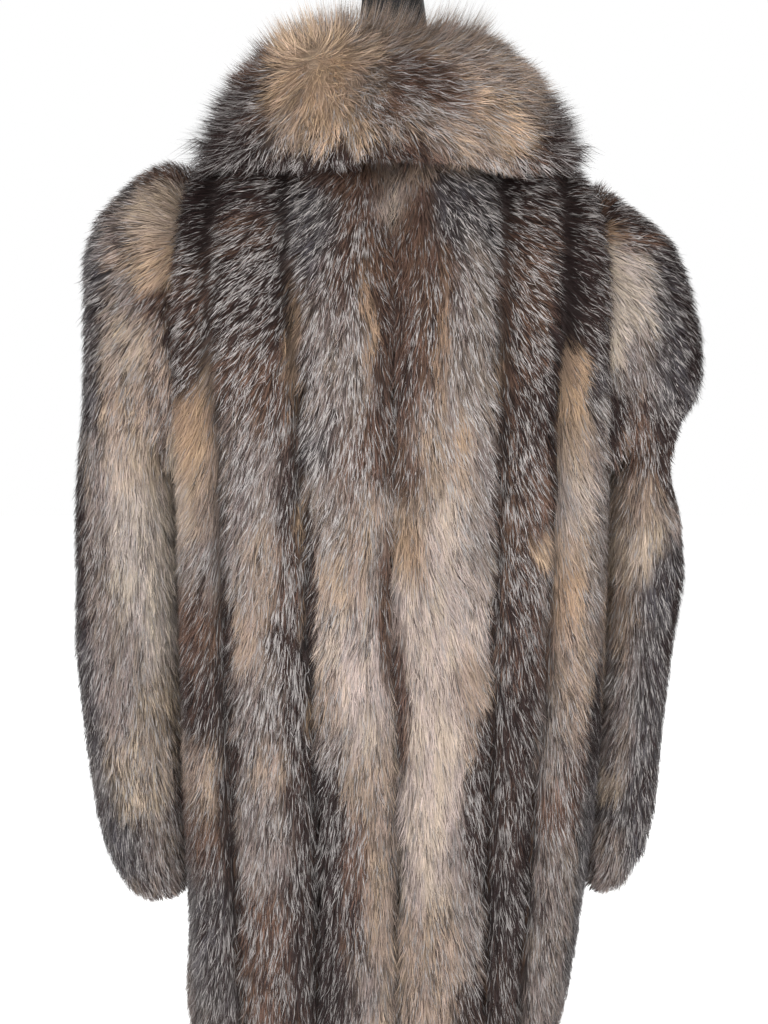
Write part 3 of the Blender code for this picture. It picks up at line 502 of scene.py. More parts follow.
# %% Patches on the right sleeve
RIGHT_SLEEVE_PATCHES = (
    (-0.208, 1.410, 0.008, 0.010, "brown", 0.35, 0.35),
    (-0.244, 1.395, 0.025, 0.015, "umber", 0.78, 0.75),
    (-0.211, 1.380, 0.010, 0.010, "amber", 0.20, 0.30),
    (-0.239, 1.365, 0.016, 0.010, "brown", 0.50, 0.85),
    (-0.214, 1.350, 0.012, 0.012, "ivory", 0.08, 0.30),
    (-0.271, 1.355, 0.008, 0.020, "dark", 0.80, 0.50),
    (-0.218, 1.315, 0.016, 0.030, "ivory", 0.04, 0.12),
    (-0.213, 1.275, 0.012, 0.020, "ivory", 0.20, 0.55),
    (-0.243, 1.310, 0.012, 0.020, "ivory", 0.34, 0.75),
    (-0.239, 1.270, 0.016, 0.020, "grey", 0.40, 0.90),
    (-0.262, 1.320, 0.009, 0.025, "slate", 0.70, 0.60),
    (-0.267, 1.275, 0.012, 0.030, "slate", 0.56, 0.80),
    (-0.291, 1.280, 0.008, 0.035, "dark", 0.78, 0.45),
    (-0.221, 1.240, 0.009, 0.010, "grey", 0.40, 0.80),
    (-0.243, 1.235, 0.014, 0.010, "grey", 0.50, 0.85),
    (-0.262, 1.230, 0.014, 0.020, "slate", 0.42, 0.85),
    (-0.290, 1.220, 0.008, 0.020, "slate", 0.76, 0.70),
    (-0.214, 1.212, 0.012, 0.024, "dark", 0.94, 0.15),
    (-0.240, 1.205, 0.016, 0.015, "brown", 0.54, 0.75),
    (-0.246, 1.165, 0.018, 0.025, "brown", 0.50, 0.80),
    (-0.275, 1.160, 0.007, 0.045, "umber", 0.80, 0.45),
    (-0.236, 1.135, 0.008, 0.040, "tan", 0.44, 0.60),
    (-0.250, 1.110, 0.016, 0.020, "tan", 0.30, 0.60),
    (-0.252, 1.070, 0.016, 0.025, "sand", 0.20, 0.45),
    (-0.275, 1.085, 0.007, 0.025, "grey", 0.40, 0.70),
    (-0.280, 1.040, 0.007, 0.020, "slate", 0.62, 0.60),
    (-0.230, 1.080, 0.012, 0.040, "sand", 0.24, 0.50),
    (-0.297, 1.055, 0.004, 0.060, "dark", 0.80, 0.35),
    (-0.241, 0.985, 0.017, 0.030, "tan", 0.36, 0.70),
    (-0.269, 0.995, 0.010, 0.035, "slate", 0.52, 0.70),
    (-0.242, 0.910, 0.016, 0.040, "grey", 0.44, 0.70),
    (-0.271, 0.900, 0.011, 0.035, "slate", 0.66, 0.60),
    (-0.295, 0.945, 0.007, 0.060, "dark", 0.76, 0.40),
    (-0.242, 0.840, 0.014, 0.030, "grey", 0.40, 0.60),
    (-0.274, 0.845, 0.010, 0.030, "slate", 0.50, 0.60),
    (-0.236, 0.790, 0.011, 0.020, "sand", 0.34, 0.50),
    (-0.271, 0.785, 0.013, 0.035, "slate", 0.78, 0.55),
    (-0.243, 0.755, 0.014, 0.010, "slate", 0.66, 0.60),
    (-0.243, 0.715, 0.014, 0.025, "grey", 0.50, 0.55),
    (-0.269, 0.715, 0.011, 0.025, "slate", 0.60, 0.65),
    (-0.241, 0.680, 0.014, 0.010, "grey", 0.64, 0.55),
    (-0.205, 1.165, 0.006, 0.030, "dark", 0.84, 0.25),
    (-0.223, 0.960, 0.004, 0.050, "brown", 0.55, 0.50),
)
print("patches on the right sleeve:", len(RIGHT_SLEEVE_PATCHES))

# %% Patches on the collar
COLLAR_PATCHES = (
    # the whorl and the fold above it
    (0.063, 1.519, 0.032, 0.024, "honey", 0.04, 0.12),
    (0.079, 1.497, 0.020, 0.013, "honey", 0.04, 0.25),
    (0.055, 1.482, 0.022, 0.015, "honey", 0.04, 0.40),
    (0.096, 1.561, 0.022, 0.010, "sand", 0.34, 0.60),
    (0.048, 1.554, 0.023, 0.010, "tan", 0.36, 0.65),
    (0.028, 1.535, 0.009, 0.013, "tan", 0.20, 0.45),
    (0.002, 1.546, 0.017, 0.015, "tan", 0.40, 0.70),
    (-0.018, 1.548, 0.011, 0.010, "tan", 0.30, 0.60),
    (-0.050, 1.541, 0.021, 0.013, "tan", 0.26, 0.75),
    (-0.076, 1.520, 0.019, 0.013, "tan", 0.46, 0.75),
    # towards the left shoulder
    (0.131, 1.532, 0.012, 0.016, "brown", 0.46, 0.70),
    (0.137, 1.492, 0.017, 0.023, "umber", 0.84, 0.65),
    (0.175, 1.483, 0.012, 0.024, "dark", 0.92, 0.50),
    (0.194, 1.455, 0.014, 0.014, "grey", 0.60, 0.55),
    (0.116, 1.473, 0.009, 0.017, "brown", 0.50, 0.95),
    (0.096, 1.473, 0.009, 0.011, "tan", 0.16, 0.80),
    (0.125, 1.451, 0.023, 0.014, "dark", 0.94, 0.60),
    # the middle and its lower edge
    (0.086, 1.455, 0.018, 0.008, "tan", 0.22, 1.00),
    (0.091, 1.438, 0.024, 0.010, "dark", 0.92, 0.60),
    (0.042, 1.461, 0.018, 0.010, "honey", 0.12, 0.70),
    (0.038, 1.449, 0.022, 0.006, "honey", 0.20, 1.00),
    # umber along the middle of the lower edge: painted shade at the collar's lower edge
    (0.038, 1.436, 0.023, 0.009, "umber", 0.74, 0.45),
    (0.023, 1.495, 0.016, 0.016, "tan", 0.34, 0.60),
    (-0.013, 1.501, 0.020, 0.018, "brown", 0.34, 0.80),
    (0.002, 1.474, 0.016, 0.013, "brown", 0.34, 1.00),
    (-0.025, 1.466, 0.020, 0.009, "tan", 0.48, 0.90),
    (-0.005, 1.452, 0.020, 0.006, "tan", 0.44, 0.60),
    # brown low in the middle: painted shade at the collar's lower edge
    (-0.013, 1.434, 0.032, 0.009, "brown", 0.56, 0.30),
    # towards the right shoulder
    (-0.046, 1.484, 0.018, 0.013, "brown", 0.30, 0.90),
    (-0.085, 1.481, 0.018, 0.017, "honey", 0.24, 0.60),
    (-0.058, 1.457, 0.018, 0.009, "tan", 0.38, 0.80),
    (-0.102, 1.457, 0.017, 0.011, "honey", 0.24, 0.80),
    (-0.085, 1.438, 0.018, 0.007, "tan", 0.42, 0.80),
    (-0.058, 1.440, 0.013, 0.006, "tan", 0.26, 0.60),
    (-0.124, 1.505, 0.013, 0.025, "tan", 0.36, 0.75),
    (-0.125, 1.444, 0.017, 0.010, "brown", 0.60, 0.75),
    (-0.143, 1.463, 0.012, 0.025, "umber", 0.74, 0.65),
    (-0.168, 1.498, 0.008, 0.035, "umber", 0.76, 0.55),
    (-0.175, 1.457, 0.009, 0.024, "dark", 0.90, 0.40),
    (-0.120, 1.432, 0.027, 0.006, "brown", 0.54, 0.80),
)
print("collar patches:", len(COLLAR_PATCHES))


# %% [markdown]
# ## Soft noise
#
# Hair needs two kinds of chance: one throw for each hair, and slow drifts that neighbours
# share, so that locks lie together. The drifts come from a lattice of random values with the
# space between blended smoothly.

# %% Noise on points
CELL_PRIMES = (73856093, 19349663, 83492791)
SEED_STEP = 2654435
STIR = 1274126177


def cell_key(cell):
    """One whole number for each cell of a lattice."""
    x, y, z = (cell[:, k] * prime for k, prime in enumerate(CELL_PRIMES))
    return x ^ y ^ z


def drift(points, size, seed):
    """Smooth noise from -1 to 1 at each point, with lumps of about the given size."""
    scaled = points / size
    base = np.floor(scaled).astype(np.int64)
    part = scaled - base
    part = part * part * (3.0 - 2.0 * part)
    total = np.zeros(len(points))
    for corner in range(8):
        offset = np.array([corner & 1, (corner >> 1) & 1, (corner >> 2) & 1])
        mixed = cell_key(base + offset) ^ (seed * SEED_STEP)
        mixed = (mixed ^ (mixed >> 13)) * STIR
        value = ((mixed ^ (mixed >> 16)) & 0xFFFF) / 32767.5 - 1.0
        weight = np.prod(np.where(offset, part, 1.0 - part), axis=1)
        total += value * weight
    return total


def drifts(points, rows, onto=0.0):
    """Several drifts added up. A row gives the size of the lumps, a seed and a strength."""
    for size, seed, strength in rows:
        onto = onto + drift(points, size, seed) * strength
    return onto


print("noise ready:", float(drift(np.array([[0.1, 0.2, 0.3]]), 0.05, 1)[0]))


# %% Small helpers
def unit(vectors):
    """Each row brought to length one."""
    return vectors / np.maximum(np.linalg.norm(vectors, axis=1, keepdims=True), 1e-9)


def ease(low, high, value):
    """0 below low, 1 above high, and smooth between."""
    t = np.clip((value - low) / (high - low), 0.0, 1.0)
    return t * t * (3.0 - 2.0 * t)


def ramp(low, high, value):
    """0 below low, 1 above high, and straight between, for one number."""
    return min(max((value - low) / (high - low), 0.0), 1.0)


def lay_tone(mesh, shades):
    """A colour for each vertex, under the name that the finishes read."""
    layer = mesh.color_attributes.new("tone", "FLOAT_COLOR", "POINT")
    rgba = np.concatenate([shades, np.ones((len(shades), 1))], axis=1)
    layer.data.foreach_set("color", rgba.astype(np.float32).reshape(-1))


print("an ease from 0 to 1, read at a quarter:", float(ease(0.0, 1.0, 0.25)))


# %% [markdown]
# ## Pelts
#
# Each wall of the frame turns into a pelt. Its inner face stays where the coat's leather side
# is, and its outer face is drawn in, to where the dense underfur ends and single hairs begin.
# A Solidify modifier on a plane would do for felt, but here the walls already curve as the
# coat does. Where a sleeve is drawn in further, its leather gives way by as much.

# %% Where each wall's middle lies
# The collar is rolled round a ring, which lies higher at the back than in front
RING_RADIUS = 0.125
RING_HEIGHT = 1.485
RING_SLANT = 0.020
RING_FRONT = -0.05
# z, how far aside the middle of the left and of the right sleeve runs, and how far forward
SLEEVE_MIDDLES = np.array([
    (0.66, 0.277, 0.247, 0.012),
    (0.90, 0.277, 0.268, 0.012),
    (1.17, 0.277, 0.262, 0.012),
    (1.34, 0.232, 0.245, 0.000),
])
SLEEVE_HEAD = 1.31  # above this height a sleeve curves over to the shoulder
# Between these heights the right sleeve's bulge turns under, so its middle is taken higher
BULGE_UNDERSIDE = (1.12, 1.22)
BULGE_LIFT = 0.020
CHEST = 1.22  # above this height the body curves over to the shoulders
BACK_CURVE = 0.80  # how far out, of the whole way, the middle of a back's or a front's curve lies
SIDE_CURVE = 0.85  # and of a side's


def middle_of(node, x, y, z):
    """The point that a wall's outer face looks away from."""
    if node == "collar":
        ring = math.hypot(x, y)
        slant = RING_SLANT if y > RING_FRONT else -RING_SLANT
        return x / ring * RING_RADIUS, y / ring * RING_RADIUS, RING_HEIGHT + slant
    if node.startswith("sleeve"):
        on_left = node.endswith("left")
        left, right, forward = (float(np.interp(z, SLEEVE_MIDDLES[:, 0], column))
                                for column in SLEEVE_MIDDLES.T[1:])
        under = not on_left and BULGE_UNDERSIDE[0] < z < BULGE_UNDERSIDE[1]
        height = min(z, SLEEVE_HEAD) + (BULGE_LIFT if under else 0.0)
        return left if on_left else -right, -forward, height
    if node.startswith("side"):
        return 0.0, y * SIDE_CURVE, z
    return x * BACK_CURVE, 0.0, min(z, CHEST)


def looks_out(node, centre, normal):
    """How squarely a face of a wall looks away from the hollow it goes round."""
    away = np.array(centre) - np.array(middle_of(node, *centre))
    return float(np.dot(normal, away / max(np.linalg.norm(away), 1e-6)))


print("middle of the left sleeve at its cuff:", middle_of("sleeve_left", 0.3, 0.0, 0.7))

# %% How far the outer face is drawn in
DRAWN_IN = 0.0095
COLLAR_DRAWN_IN = 0.0130
FOLD_DRAWN_IN = 0.004  # further, along the collar's fold and away from its middle
SKIRT_DRAWN_IN = 0.005  # further, below the right sleeve
# Where each of these sets in and where it is whole
FOLD_HEIGHTS = (1.53, 1.55)
FOLD_ASIDE = (0.06, 0.09)
SKIRT_HEIGHTS = (0.68, 0.58)
SLEEVE_OUTSIDE = (0.22, 0.26)
SLEEVE_ALOFT = (1.37, 1.40)
# z, then how much further the outer side of the left and of the right sleeve is drawn in
SLEEVE_DRAWN_IN = np.array([
    (0.70, 0.000, 0.006),
    (0.74, 0.000, -0.003),
    (0.80, 0.000, -0.005),
    (0.88, 0.000, -0.001),
    (0.95, -0.003, 0.005),
    (1.00, -0.003, 0.006),
    (1.07, 0.000, -0.002),
    (1.12, 0.000, -0.004),
    (1.145, 0.001, 0.002),
    (1.17, 0.002, 0.009),
    (1.20, 0.003, 0.008),
    (1.26, 0.006, 0.000),
    (1.34, 0.005, 0.000),
    (1.37, 0.000, -0.005),
    (1.39, -0.003, -0.006),
    (1.41, -0.004, 0.000),
    (1.43, -0.004, 0.003),
])


def drawn_further(node, spot):
    """How much further than most the outer face is drawn in, so that the hair ends where it should."""
    aside = abs(spot.x)
    if node == "collar":
        return FOLD_DRAWN_IN * ramp(*FOLD_HEIGHTS, spot.z) * ramp(*FOLD_ASIDE, aside)
    if node.startswith("sleeve"):
        column = 1 if node.endswith("left") else 2
        further = np.interp(spot.z, SLEEVE_DRAWN_IN[:, 0], SLEEVE_DRAWN_IN[:, column])
        return further * max(ramp(*SLEEVE_OUTSIDE, aside), ramp(*SLEEVE_ALOFT, spot.z))
    if node in ("side_skin_right", "back_skin_6"):
        return SKIRT_DRAWN_IN * ramp(*SKIRT_HEIGHTS, spot.z)
    return 0.0


print("heights at which the sleeves are set in or out:", len(SLEEVE_DRAWN_IN))

# %% Make a pelt
LEAST_OUTWARD = 0.42  # a face that looks out more squarely than this carries hair
LEAST_FURRY = 0.08  # and one more squarely than this is underfur, not leather
CUFF_ENDS = 1.0  # above this height a sleeve's leather gives way
# On most pelts and on the collar the underfur is dimmed to these shares of its colour, as painted shade under
# the hair above it.
UNDERFUR_SHADE = 0.62  # how bright the underfur is beside its hair
COLLAR_UNDERFUR_SHADE = 0.78
DARK_DEPTH = 0.90


def draw_in(bm, node, furred):
    """Move the furred faces inwards and return the outward direction at each of their vertices."""
    outward = {}
    for face in furred:
        for vert in face.verts:
            pull = face.normal * face.calc_area()
            outward[vert] = outward[vert] + pull if vert in outward else pull
    usual = COLLAR_DRAWN_IN if node == "collar" else DRAWN_IN
    for vert, normal in outward.items():
        normal.normalize()
        vert.co -= normal * (usual + drawn_further(node, vert.co))
    if node.startswith("sleeve"):
        for vert in bm.verts:
            if vert not in outward and vert.co.z > CUFF_ENDS:
                vert.co += vert.normal * max(drawn_further(node, vert.co), 0.0)
    return outward


def make_pelt(node):
    """The wall of a node with its outer face drawn in, and its furred faces' corners and normals."""
    bm = bmesh.new()
    bm.from_mesh(nodes[node].data)
    bmesh.ops.remove_doubles(bm, verts=bm.verts, dist=1e-5)
    bmesh.ops.recalc_face_normals(bm, faces=bm.faces)
    bm.normal_update()
    facing = {face: looks_out(node, face.calc_center_median(), face.normal) for face in bm.faces}
    for face in facing:
        face.material_index = 1 if facing[face] > LEAST_FURRY else 0
    furred = [face for face in facing if facing[face] > LEAST_OUTWARD]
    outward = draw_in(bm, node, furred)
    corners = np.array([[list(v.co) for v in f.verts] for f in furred])
    normals = np.array([[list(outward[v]) for v in f.verts] for f in furred])
    spots = np.array([list(v.co) for v in bm.verts])
    mesh = bpy.data.meshes.new("pelt_" + node)
    bm.to_mesh(mesh)
    bm.free()
    under, dark, _ = fur_at(node, spots)
    # the underfur's colour, dimmed by painted shade
    depth = COLLAR_UNDERFUR_SHADE if node == "collar" else UNDERFUR_SHADE
    black = COLOURS["dark"] * DARK_DEPTH
    lay_tone(mesh, under * depth * (1.0 - dark[:, None]) + black * dark[:, None])
    mesh.shade_smooth()
    return add_object("pelt_" + node, mesh), corners, normals


print("pelt maker ready")


# %% [markdown]
# ## Combing
#
# Fur has a lie. On a back it runs down, fans out over the shoulders and dips into the seams;
# on a sleeve it starts nearly level at the head and turns down the arm; on a collar it bursts
# away from a whorl near the fold. One function gives that lie for any point, and the direction
# is then brought flat against the skin.

# %% Where the seams run
# z, then the seam lines across the back from the left armhole to the right one
SEAM_LINES = np.array([
    (0.25, 0.196, 0.150, 0.076, -0.003, -0.087, -0.118, -0.148),
    (0.45, 0.203, 0.154, 0.076, -0.003, -0.089, -0.124, -0.157),
    (0.62, 0.212, 0.157, 0.076, -0.004, -0.092, -0.131, -0.181),
    (0.83, 0.216, 0.159, 0.076, -0.005, -0.094, -0.138, -0.194),
    (1.00, 0.214, 0.160, 0.079, -0.001, -0.093, -0.147, -0.203),
    (1.17, 0.213, 0.160, 0.084, 0.001, -0.094, -0.149, -0.203),
    (1.33, 0.205, 0.163, 0.088, 0.001, -0.093, -0.150, -0.200),
    (1.46, 0.196, 0.160, 0.090, 0.000, -0.090, -0.150, -0.194),
])


FAR_FROM_SEAM = 0.05


def across_skin(points):
    """Where a point lies across its skin, -1 at the right seam and 1 at the left, and its seam's distance."""
    heights, *seams = SEAM_LINES.T
    lines = [np.interp(points[:, 2], heights, seam) for seam in seams]
    in_front = points[:, 1] < 0
    x = np.where(in_front, -points[:, 0], points[:, 0])
    place = np.zeros(len(points))
    distance = np.full(len(points), FAR_FROM_SEAM)
    for left, right in zip(lines[:-1], lines[1:]):
        inside = (x <= left) & (x > right)
        place = np.where(inside, (x - right) / (left - right) * 2.0 - 1.0, place)
        distance = np.where(inside, np.minimum(left - x, x - right), distance)
    return np.where(in_front, -place, place), distance


print("seams at the waist:", SEAM_LINES[4, 1:])

# %% Tables of lean
# Degrees away from straight down and outward, by height and by distance from the middle line
BODY_PLACES = (0.02, 0.05, 0.09, 0.13, 0.17, 0.20)
BODY_FAN = np.array([
    (0.25, 1, 2, 2, 2, 2, 3),
    (0.60, 2, 5, 6, 4, 6, 8),
    (0.77, 4, 8, 8, 4, 6, 14),
    (0.98, 6, 11, 13, 8, 9, 22),
    (1.12, 11, 17, 17, 13, 20, 26),
    (1.22, 4, 9, 19, 17, 21, 30),
    (1.29, -8, 2, 20, 30, 36, 40),
    (1.35, -14, 12, 36, 46, 50, 54),
    (1.40, 4, 26, 40, 54, 60, 64),
])
SLEEVE_PLACES = (0.235, 0.275, 0.315)
SLEEVE_FAN = np.array([
    (0.66, -20, -24, -40),
    (0.77, -14, -3, 2),
    (0.88, -8, 5, 10),
    (0.98, 2, 10, 20),
    (1.10, 0, 4, 8),
    (1.18, 8, 10, 4),
    (1.25, 16, 26, 12),
    (1.30, 26, 38, 28),
    (1.34, 42, 48, 42),
    (1.37, 60, 66, 52),
    (1.40, 82, 76, 50),
    (1.43, 92, 84, 55),
])
print("rows of lean:", len(BODY_FAN), "for the body,", len(SLEEVE_FAN), "for the sleeves")


# %% Reading a table of lean
def fan(table, places, x, z):
    """The lean at each point, read between a table's rows and columns."""
    columns = np.stack([np.interp(z, table[:, 0], table[:, k + 1]) for k in range(len(places))], axis=1)
    spot = np.interp(np.abs(x), places, np.arange(len(places), dtype=float))
    low = np.minimum(spot.astype(int), len(places) - 2)
    part = spot - low
    rows = np.arange(len(x))
    return columns[rows, low] * (1.0 - part) + columns[rows, low + 1] * part


def downward(turn):
    """The direction that many degrees away from straight down, towards the wearer's left."""
    turn = np.radians(turn)
    return np.stack([np.sin(turn), np.zeros(len(turn)), -np.cos(turn)], axis=1)


DIP_SHARPNESS = 1.5
DIP_HEIGHTS = (1.2, 1.3)
DIP_DEGREES = (7.0, 2.0)  # how far hair leans towards its seam, at those heights


def lie_on_body(points):
    """Down the back, fanning out over the shoulders and dipping into the seams."""
    x, _, z = points.T
    place, _ = across_skin(points)
    lean = fan(BODY_FAN, BODY_PLACES, x, z) * np.clip(np.abs(x) / BODY_PLACES[0], 0.0, 1.0)
    dip = np.sign(place) * np.abs(place) ** DIP_SHARPNESS * np.interp(z, DIP_HEIGHTS, DIP_DEGREES)
    return downward(lean * np.sign(x) + dip)


def lie_on_sleeve(node, points):
    """Level at the head of the sleeve and down the arm below it."""
    x, _, z = points.T
    hand = 1.0 if node.endswith("left") else -1.0
    return downward(fan(SLEEVE_FAN, SLEEVE_PLACES, x, z) * hand)


print("lean between the shoulders:", fan(BODY_FAN, BODY_PLACES, np.array([0.1]), np.array([1.3])))

# %% The collar's whorl
WHORL = np.array([0.076, 0.128, 1.540])  # the hair of the collar bursts away from here
WHORL_SIZE = 0.024
PARTING_SLANT = 0.50  # below the whorl the parting drifts towards the wearer's right
PARTING_START = 0.020
PARTING_LENGTH = 0.090
PARTING_LIFT = 0.020  # and the hair falls more steeply, as from a higher point
SOURCE_SPREAD = 0.009  # the locks don't all burst from one point
FRONT_DROP = 0.9  # the hair in front hangs down
EDGE_DROP = 0.25  # and so does the hair at the lower edge
OUTWARD = 0.12
CORNER_PULL = np.array([1.6, 0.2, -1.0])  # the left corner's hair sticks out and down
# Where each of these sets in and where it is whole
LIFT_HEIGHTS = (1.505, 1.470)
FRONT_BEGINS = (0.05, -0.08)
EDGE_HEIGHTS = (1.47, 1.44)
CORNER_HEIGHTS = (1.51, 1.47)
CORNER_ASIDE = (0.13, 0.17)


def whorl_near(points):
    """1 at the collar's whorl and 0 away from it."""
    return np.exp(-((points - WHORL) ** 2).sum(axis=1) / WHORL_SIZE ** 2)


def lie_on_collar(points, member, rng):
    """Away from the whorl, and down in front and along the lower edge."""
    count = len(points)
    x, y, z = points.T
    ring = np.maximum(np.hypot(x, y), 1e-6)
    out = np.stack([x / ring, y / ring, np.zeros(count)], axis=1)
    source = np.tile(WHORL, (count, 1))
    source[:, 0] -= PARTING_SLANT * np.clip(WHORL[2] - PARTING_START - z, 0.0, PARTING_LENGTH)
    source[:, 2] += PARTING_LIFT * ease(*LIFT_HEIGHTS, z)
    way = unit(points - source - rng.normal(0.0, SOURCE_SPREAD, (member.max() + 1, 3))[member])
    front = ease(*FRONT_BEGINS, y)
    way[:, 2] -= EDGE_DROP * ease(*EDGE_HEIGHTS, z) + FRONT_DROP * front
    way += out * (OUTWARD * (1.0 - front))[:, None]
    corner = ease(*CORNER_HEIGHTS, z) * ease(*CORNER_ASIDE, x) * (1.0 - front)
    return way + CORNER_PULL * corner[:, None]


print("whorl at", WHORL)

# %% The lie of any hair
SWIRLS = ((0.040, 11, 7.0), (0.014, 12, 6.0))  # drifts, in degrees
LOCK_STRAY = 5.5  # degrees by which one lock strays
HAIR_STRAY = 3.5  # and one hair within it
COLLAR_STRAY = 2.2  # the collar's hair strays this many times as far
WHORL_STRAY = 70.0  # degrees, at the whorl


def lie(node, points, normals, member, rng):
    """The direction in which each hair lies along the skin; hairs of a lock share a lean."""
    count = len(points)
    stray = drifts(points, SWIRLS)
    stray += rng.normal(0.0, LOCK_STRAY, member.max() + 1)[member] + rng.normal(0.0, HAIR_STRAY, count)
    if node == "collar":
        way = lie_on_collar(points, member, rng)
        stray = stray * COLLAR_STRAY + whorl_near(points) * rng.normal(0.0, WHORL_STRAY, count)
    elif node.startswith("sleeve"):
        way = lie_on_sleeve(node, points)
    else:
        way = lie_on_body(points)
    spin = np.radians(stray)[:, None]
    way = unit(way - normals * (way * normals).sum(axis=1, keepdims=True))
    return way * np.cos(spin) + np.cross(normals, way) * np.sin(spin)


print("comb ready")


# %% [markdown]
# ## Dyeing
#
# A hair takes its colours from the patches round its root. The nearest patches weigh most,
# and their edges are frayed by noise. Then the hair throws dice: it is underfur or a dark
# guard hair, and either may carry the silver band, a dark one twice as often.

# %% Reading the patches
FRAY_ACROSS = ((0.030, 21, 0.005), (0.010, 22, 0.004))  # drifts, in metres
FRAY_ALONG = ((0.050, 23, 0.014), (0.015, 24, 0.008))
SHARPNESS = 1.2  # how fast a patch gives way to its neighbours
FARTHEST = 60.0
FAINT = 1e-7  # the weight of a patch far away, so that every hair finds a colour
FRONT_COLLAR_LOWER = 0.02  # the collar's patches sit this much lower in front


def patch_mix(points, patches):
    """Underfur colour, dark share and silver share at each point."""
    frayed_x = drifts(points, FRAY_ACROSS, onto=points[:, 0])
    frayed_z = drifts(points, FRAY_ALONG, onto=points[:, 2])
    total = np.full(len(points), 1e-9)
    colour = np.zeros((len(points), 3))
    dark = np.zeros(len(points))
    silver = np.zeros(len(points))
    for x, z, wide, high, name, dark_share, silver_share in patches:
        far = ((frayed_x - x) / wide) ** 2 + ((frayed_z - z) / high) ** 2
        weight = np.exp(-np.minimum(far, FARTHEST) * SHARPNESS) + FAINT / (1.0 + far)
        colour += weight[:, None] * COLOURS[name]
        dark += weight * dark_share
        silver += weight * silver_share
        total += weight
    return colour / total[:, None], dark / total, silver / total


def fur_at(node, points):
    """The patches of a node, read at points; the fronts take the back's, turned round."""
    place = points.copy()
    in_front = points[:, 1] < 0
    if node == "collar":
        place[:, 2] = np.where(in_front, points[:, 2] + FRONT_COLLAR_LOWER, points[:, 2])
        return patch_mix(place, COLLAR_PATCHES)
    if node == "sleeve_left":
        return patch_mix(place, LEFT_SLEEVE_PATCHES)
    if node == "sleeve_right":
        return patch_mix(place, RIGHT_SLEEVE_PATCHES)
    place[:, 0] = np.where(in_front, -points[:, 0], points[:, 0])
    return patch_mix(place, BACK_PATCHES)


print("fur in the middle of the back:", fur_at("back_skin_3", np.array([[0.04, 0.15, 1.0]])))

# %% Furrows: painted shade in the seams
# The fur is darkened in and beside every seam, as painted shade of its furrow; the middle seam takes less of
# this painted shade above the waist.
FURROW_SHADE = 0.60  # how much darker the fur is right in a seam
FURROW_DRIFT = ((0.05, 35, 0.14),)
MIDDLE_SHALLOWER = 0.30  # the seam down the middle of the back is shallower, above the waist
FURROW_SHOULDER = 0.14  # a faint shade beside every furrow
# Where each of these sets in and where it is whole, or the other way round
MIDDLE_ACROSS = (0.02, 0.01)
MIDDLE_HEIGHTS = (0.88, 0.96)
SEAM_EDGE = (0.001, 0.014)
SHOULDER_EDGE = (0.006, 0.030)


def furrow_shade(node, points):
    """How bright painted shade leaves the fur near a seam: 1 away from it."""
    if not node.startswith(("back", "front")):
        return np.ones(len(points))
    _, seam = across_skin(points)
    middle = ease(*MIDDLE_ACROSS, np.abs(points[:, 0])) * ease(*MIDDLE_HEIGHTS, points[:, 2])
    depth = drifts(points, FURROW_DRIFT, onto=FURROW_SHADE) - MIDDLE_SHALLOWER * middle
    in_seam = 1.0 - ease(*SEAM_EDGE, seam)
    beside = 1.0 - ease(*SHOULDER_EDGE, seam)
    return 1.0 - depth * in_seam - FURROW_SHOULDER * beside


print("furrow maker ready")

# %% Dye the underfur
STREAKS = np.array([1.0, 1.0, 0.2])  # what varies from hair to hair varies slowly along the fall
TONES = ((0.032, 31, 0.11), (0.010, 32, 0.08))
# how far the tone is thrown: for any hair, more where hairs are dark, more on the collar
LOCK_TONE = (0.06, 0.09, 0.12)
HAIR_TONE = (0.07, 0.22, 0.10)
TONE_LIMITS = (0.4, 1.7)
LILAC = np.array([-0.01, -0.01, 0.06])  # how a cool hair differs from a warm one
LILAC_DRIFT = ((0.009, 36, 1.2),)
LILAC_THROW = 0.6


def throw(spread, dark, fluffy):
    """How far a tone is thrown, from a row of its three parts."""
    always, where_dark, on_collar = spread
    return always + where_dark * dark + on_collar * fluffy


def dye_underfur(points, under, dark, fluffy, member, rng):
    """The underfur's colour for each hair, with its own tone and a little lilac."""
    count = len(points)
    tone = drifts(points, TONES, onto=1.0)
    tone += rng.normal(0.0, 1.0, member.max() + 1)[member] * throw(LOCK_TONE, dark, fluffy)
    tone += rng.normal(0.0, 1.0, count) * throw(HAIR_TONE, dark, fluffy)
    under = under * np.clip(tone, *TONE_LIMITS)[:, None]
    lilac = drifts(points * STREAKS, LILAC_DRIFT) + rng.normal(0.0, LILAC_THROW, count)
    return under * (1.0 + np.clip(lilac, -1.0, 1.0)[:, None] * LILAC)


print("underfur dye ready")

# %% Throw which hairs are dark and which are banded
SHARE_DRIFT = ((0.008, 34, 0.18),)
SHARE_THROW = 0.12
SHARE_LIMITS = (0.03, 0.97)
BAND_THROW = 0.40
BAND_LIMITS = (0.2, 1.9)
BANDED_DARK = 0.56  # the chance of a silver band on a dark hair, where silver is at its fullest
BANDED_PALE = 0.28


def throw_kinds(points, dark, silver, member, rng):
    """Each hair's dark share after the dice, whether it is dark, and whether it is banded."""
    count = len(points)
    many = member.max() + 1
    share = drifts(points * STREAKS, SHARE_DRIFT, onto=dark) + rng.normal(0.0, SHARE_THROW, many)[member]
    is_dark = rng.random(count) < np.clip(share, *SHARE_LIMITS)
    banded = silver * np.clip(rng.normal(1.0, BAND_THROW, many)[member], *BAND_LIMITS)
    is_silver = rng.random(count) < banded * np.where(is_dark, BANDED_DARK, BANDED_PALE)
    return share, is_dark, is_silver


print("dice ready")

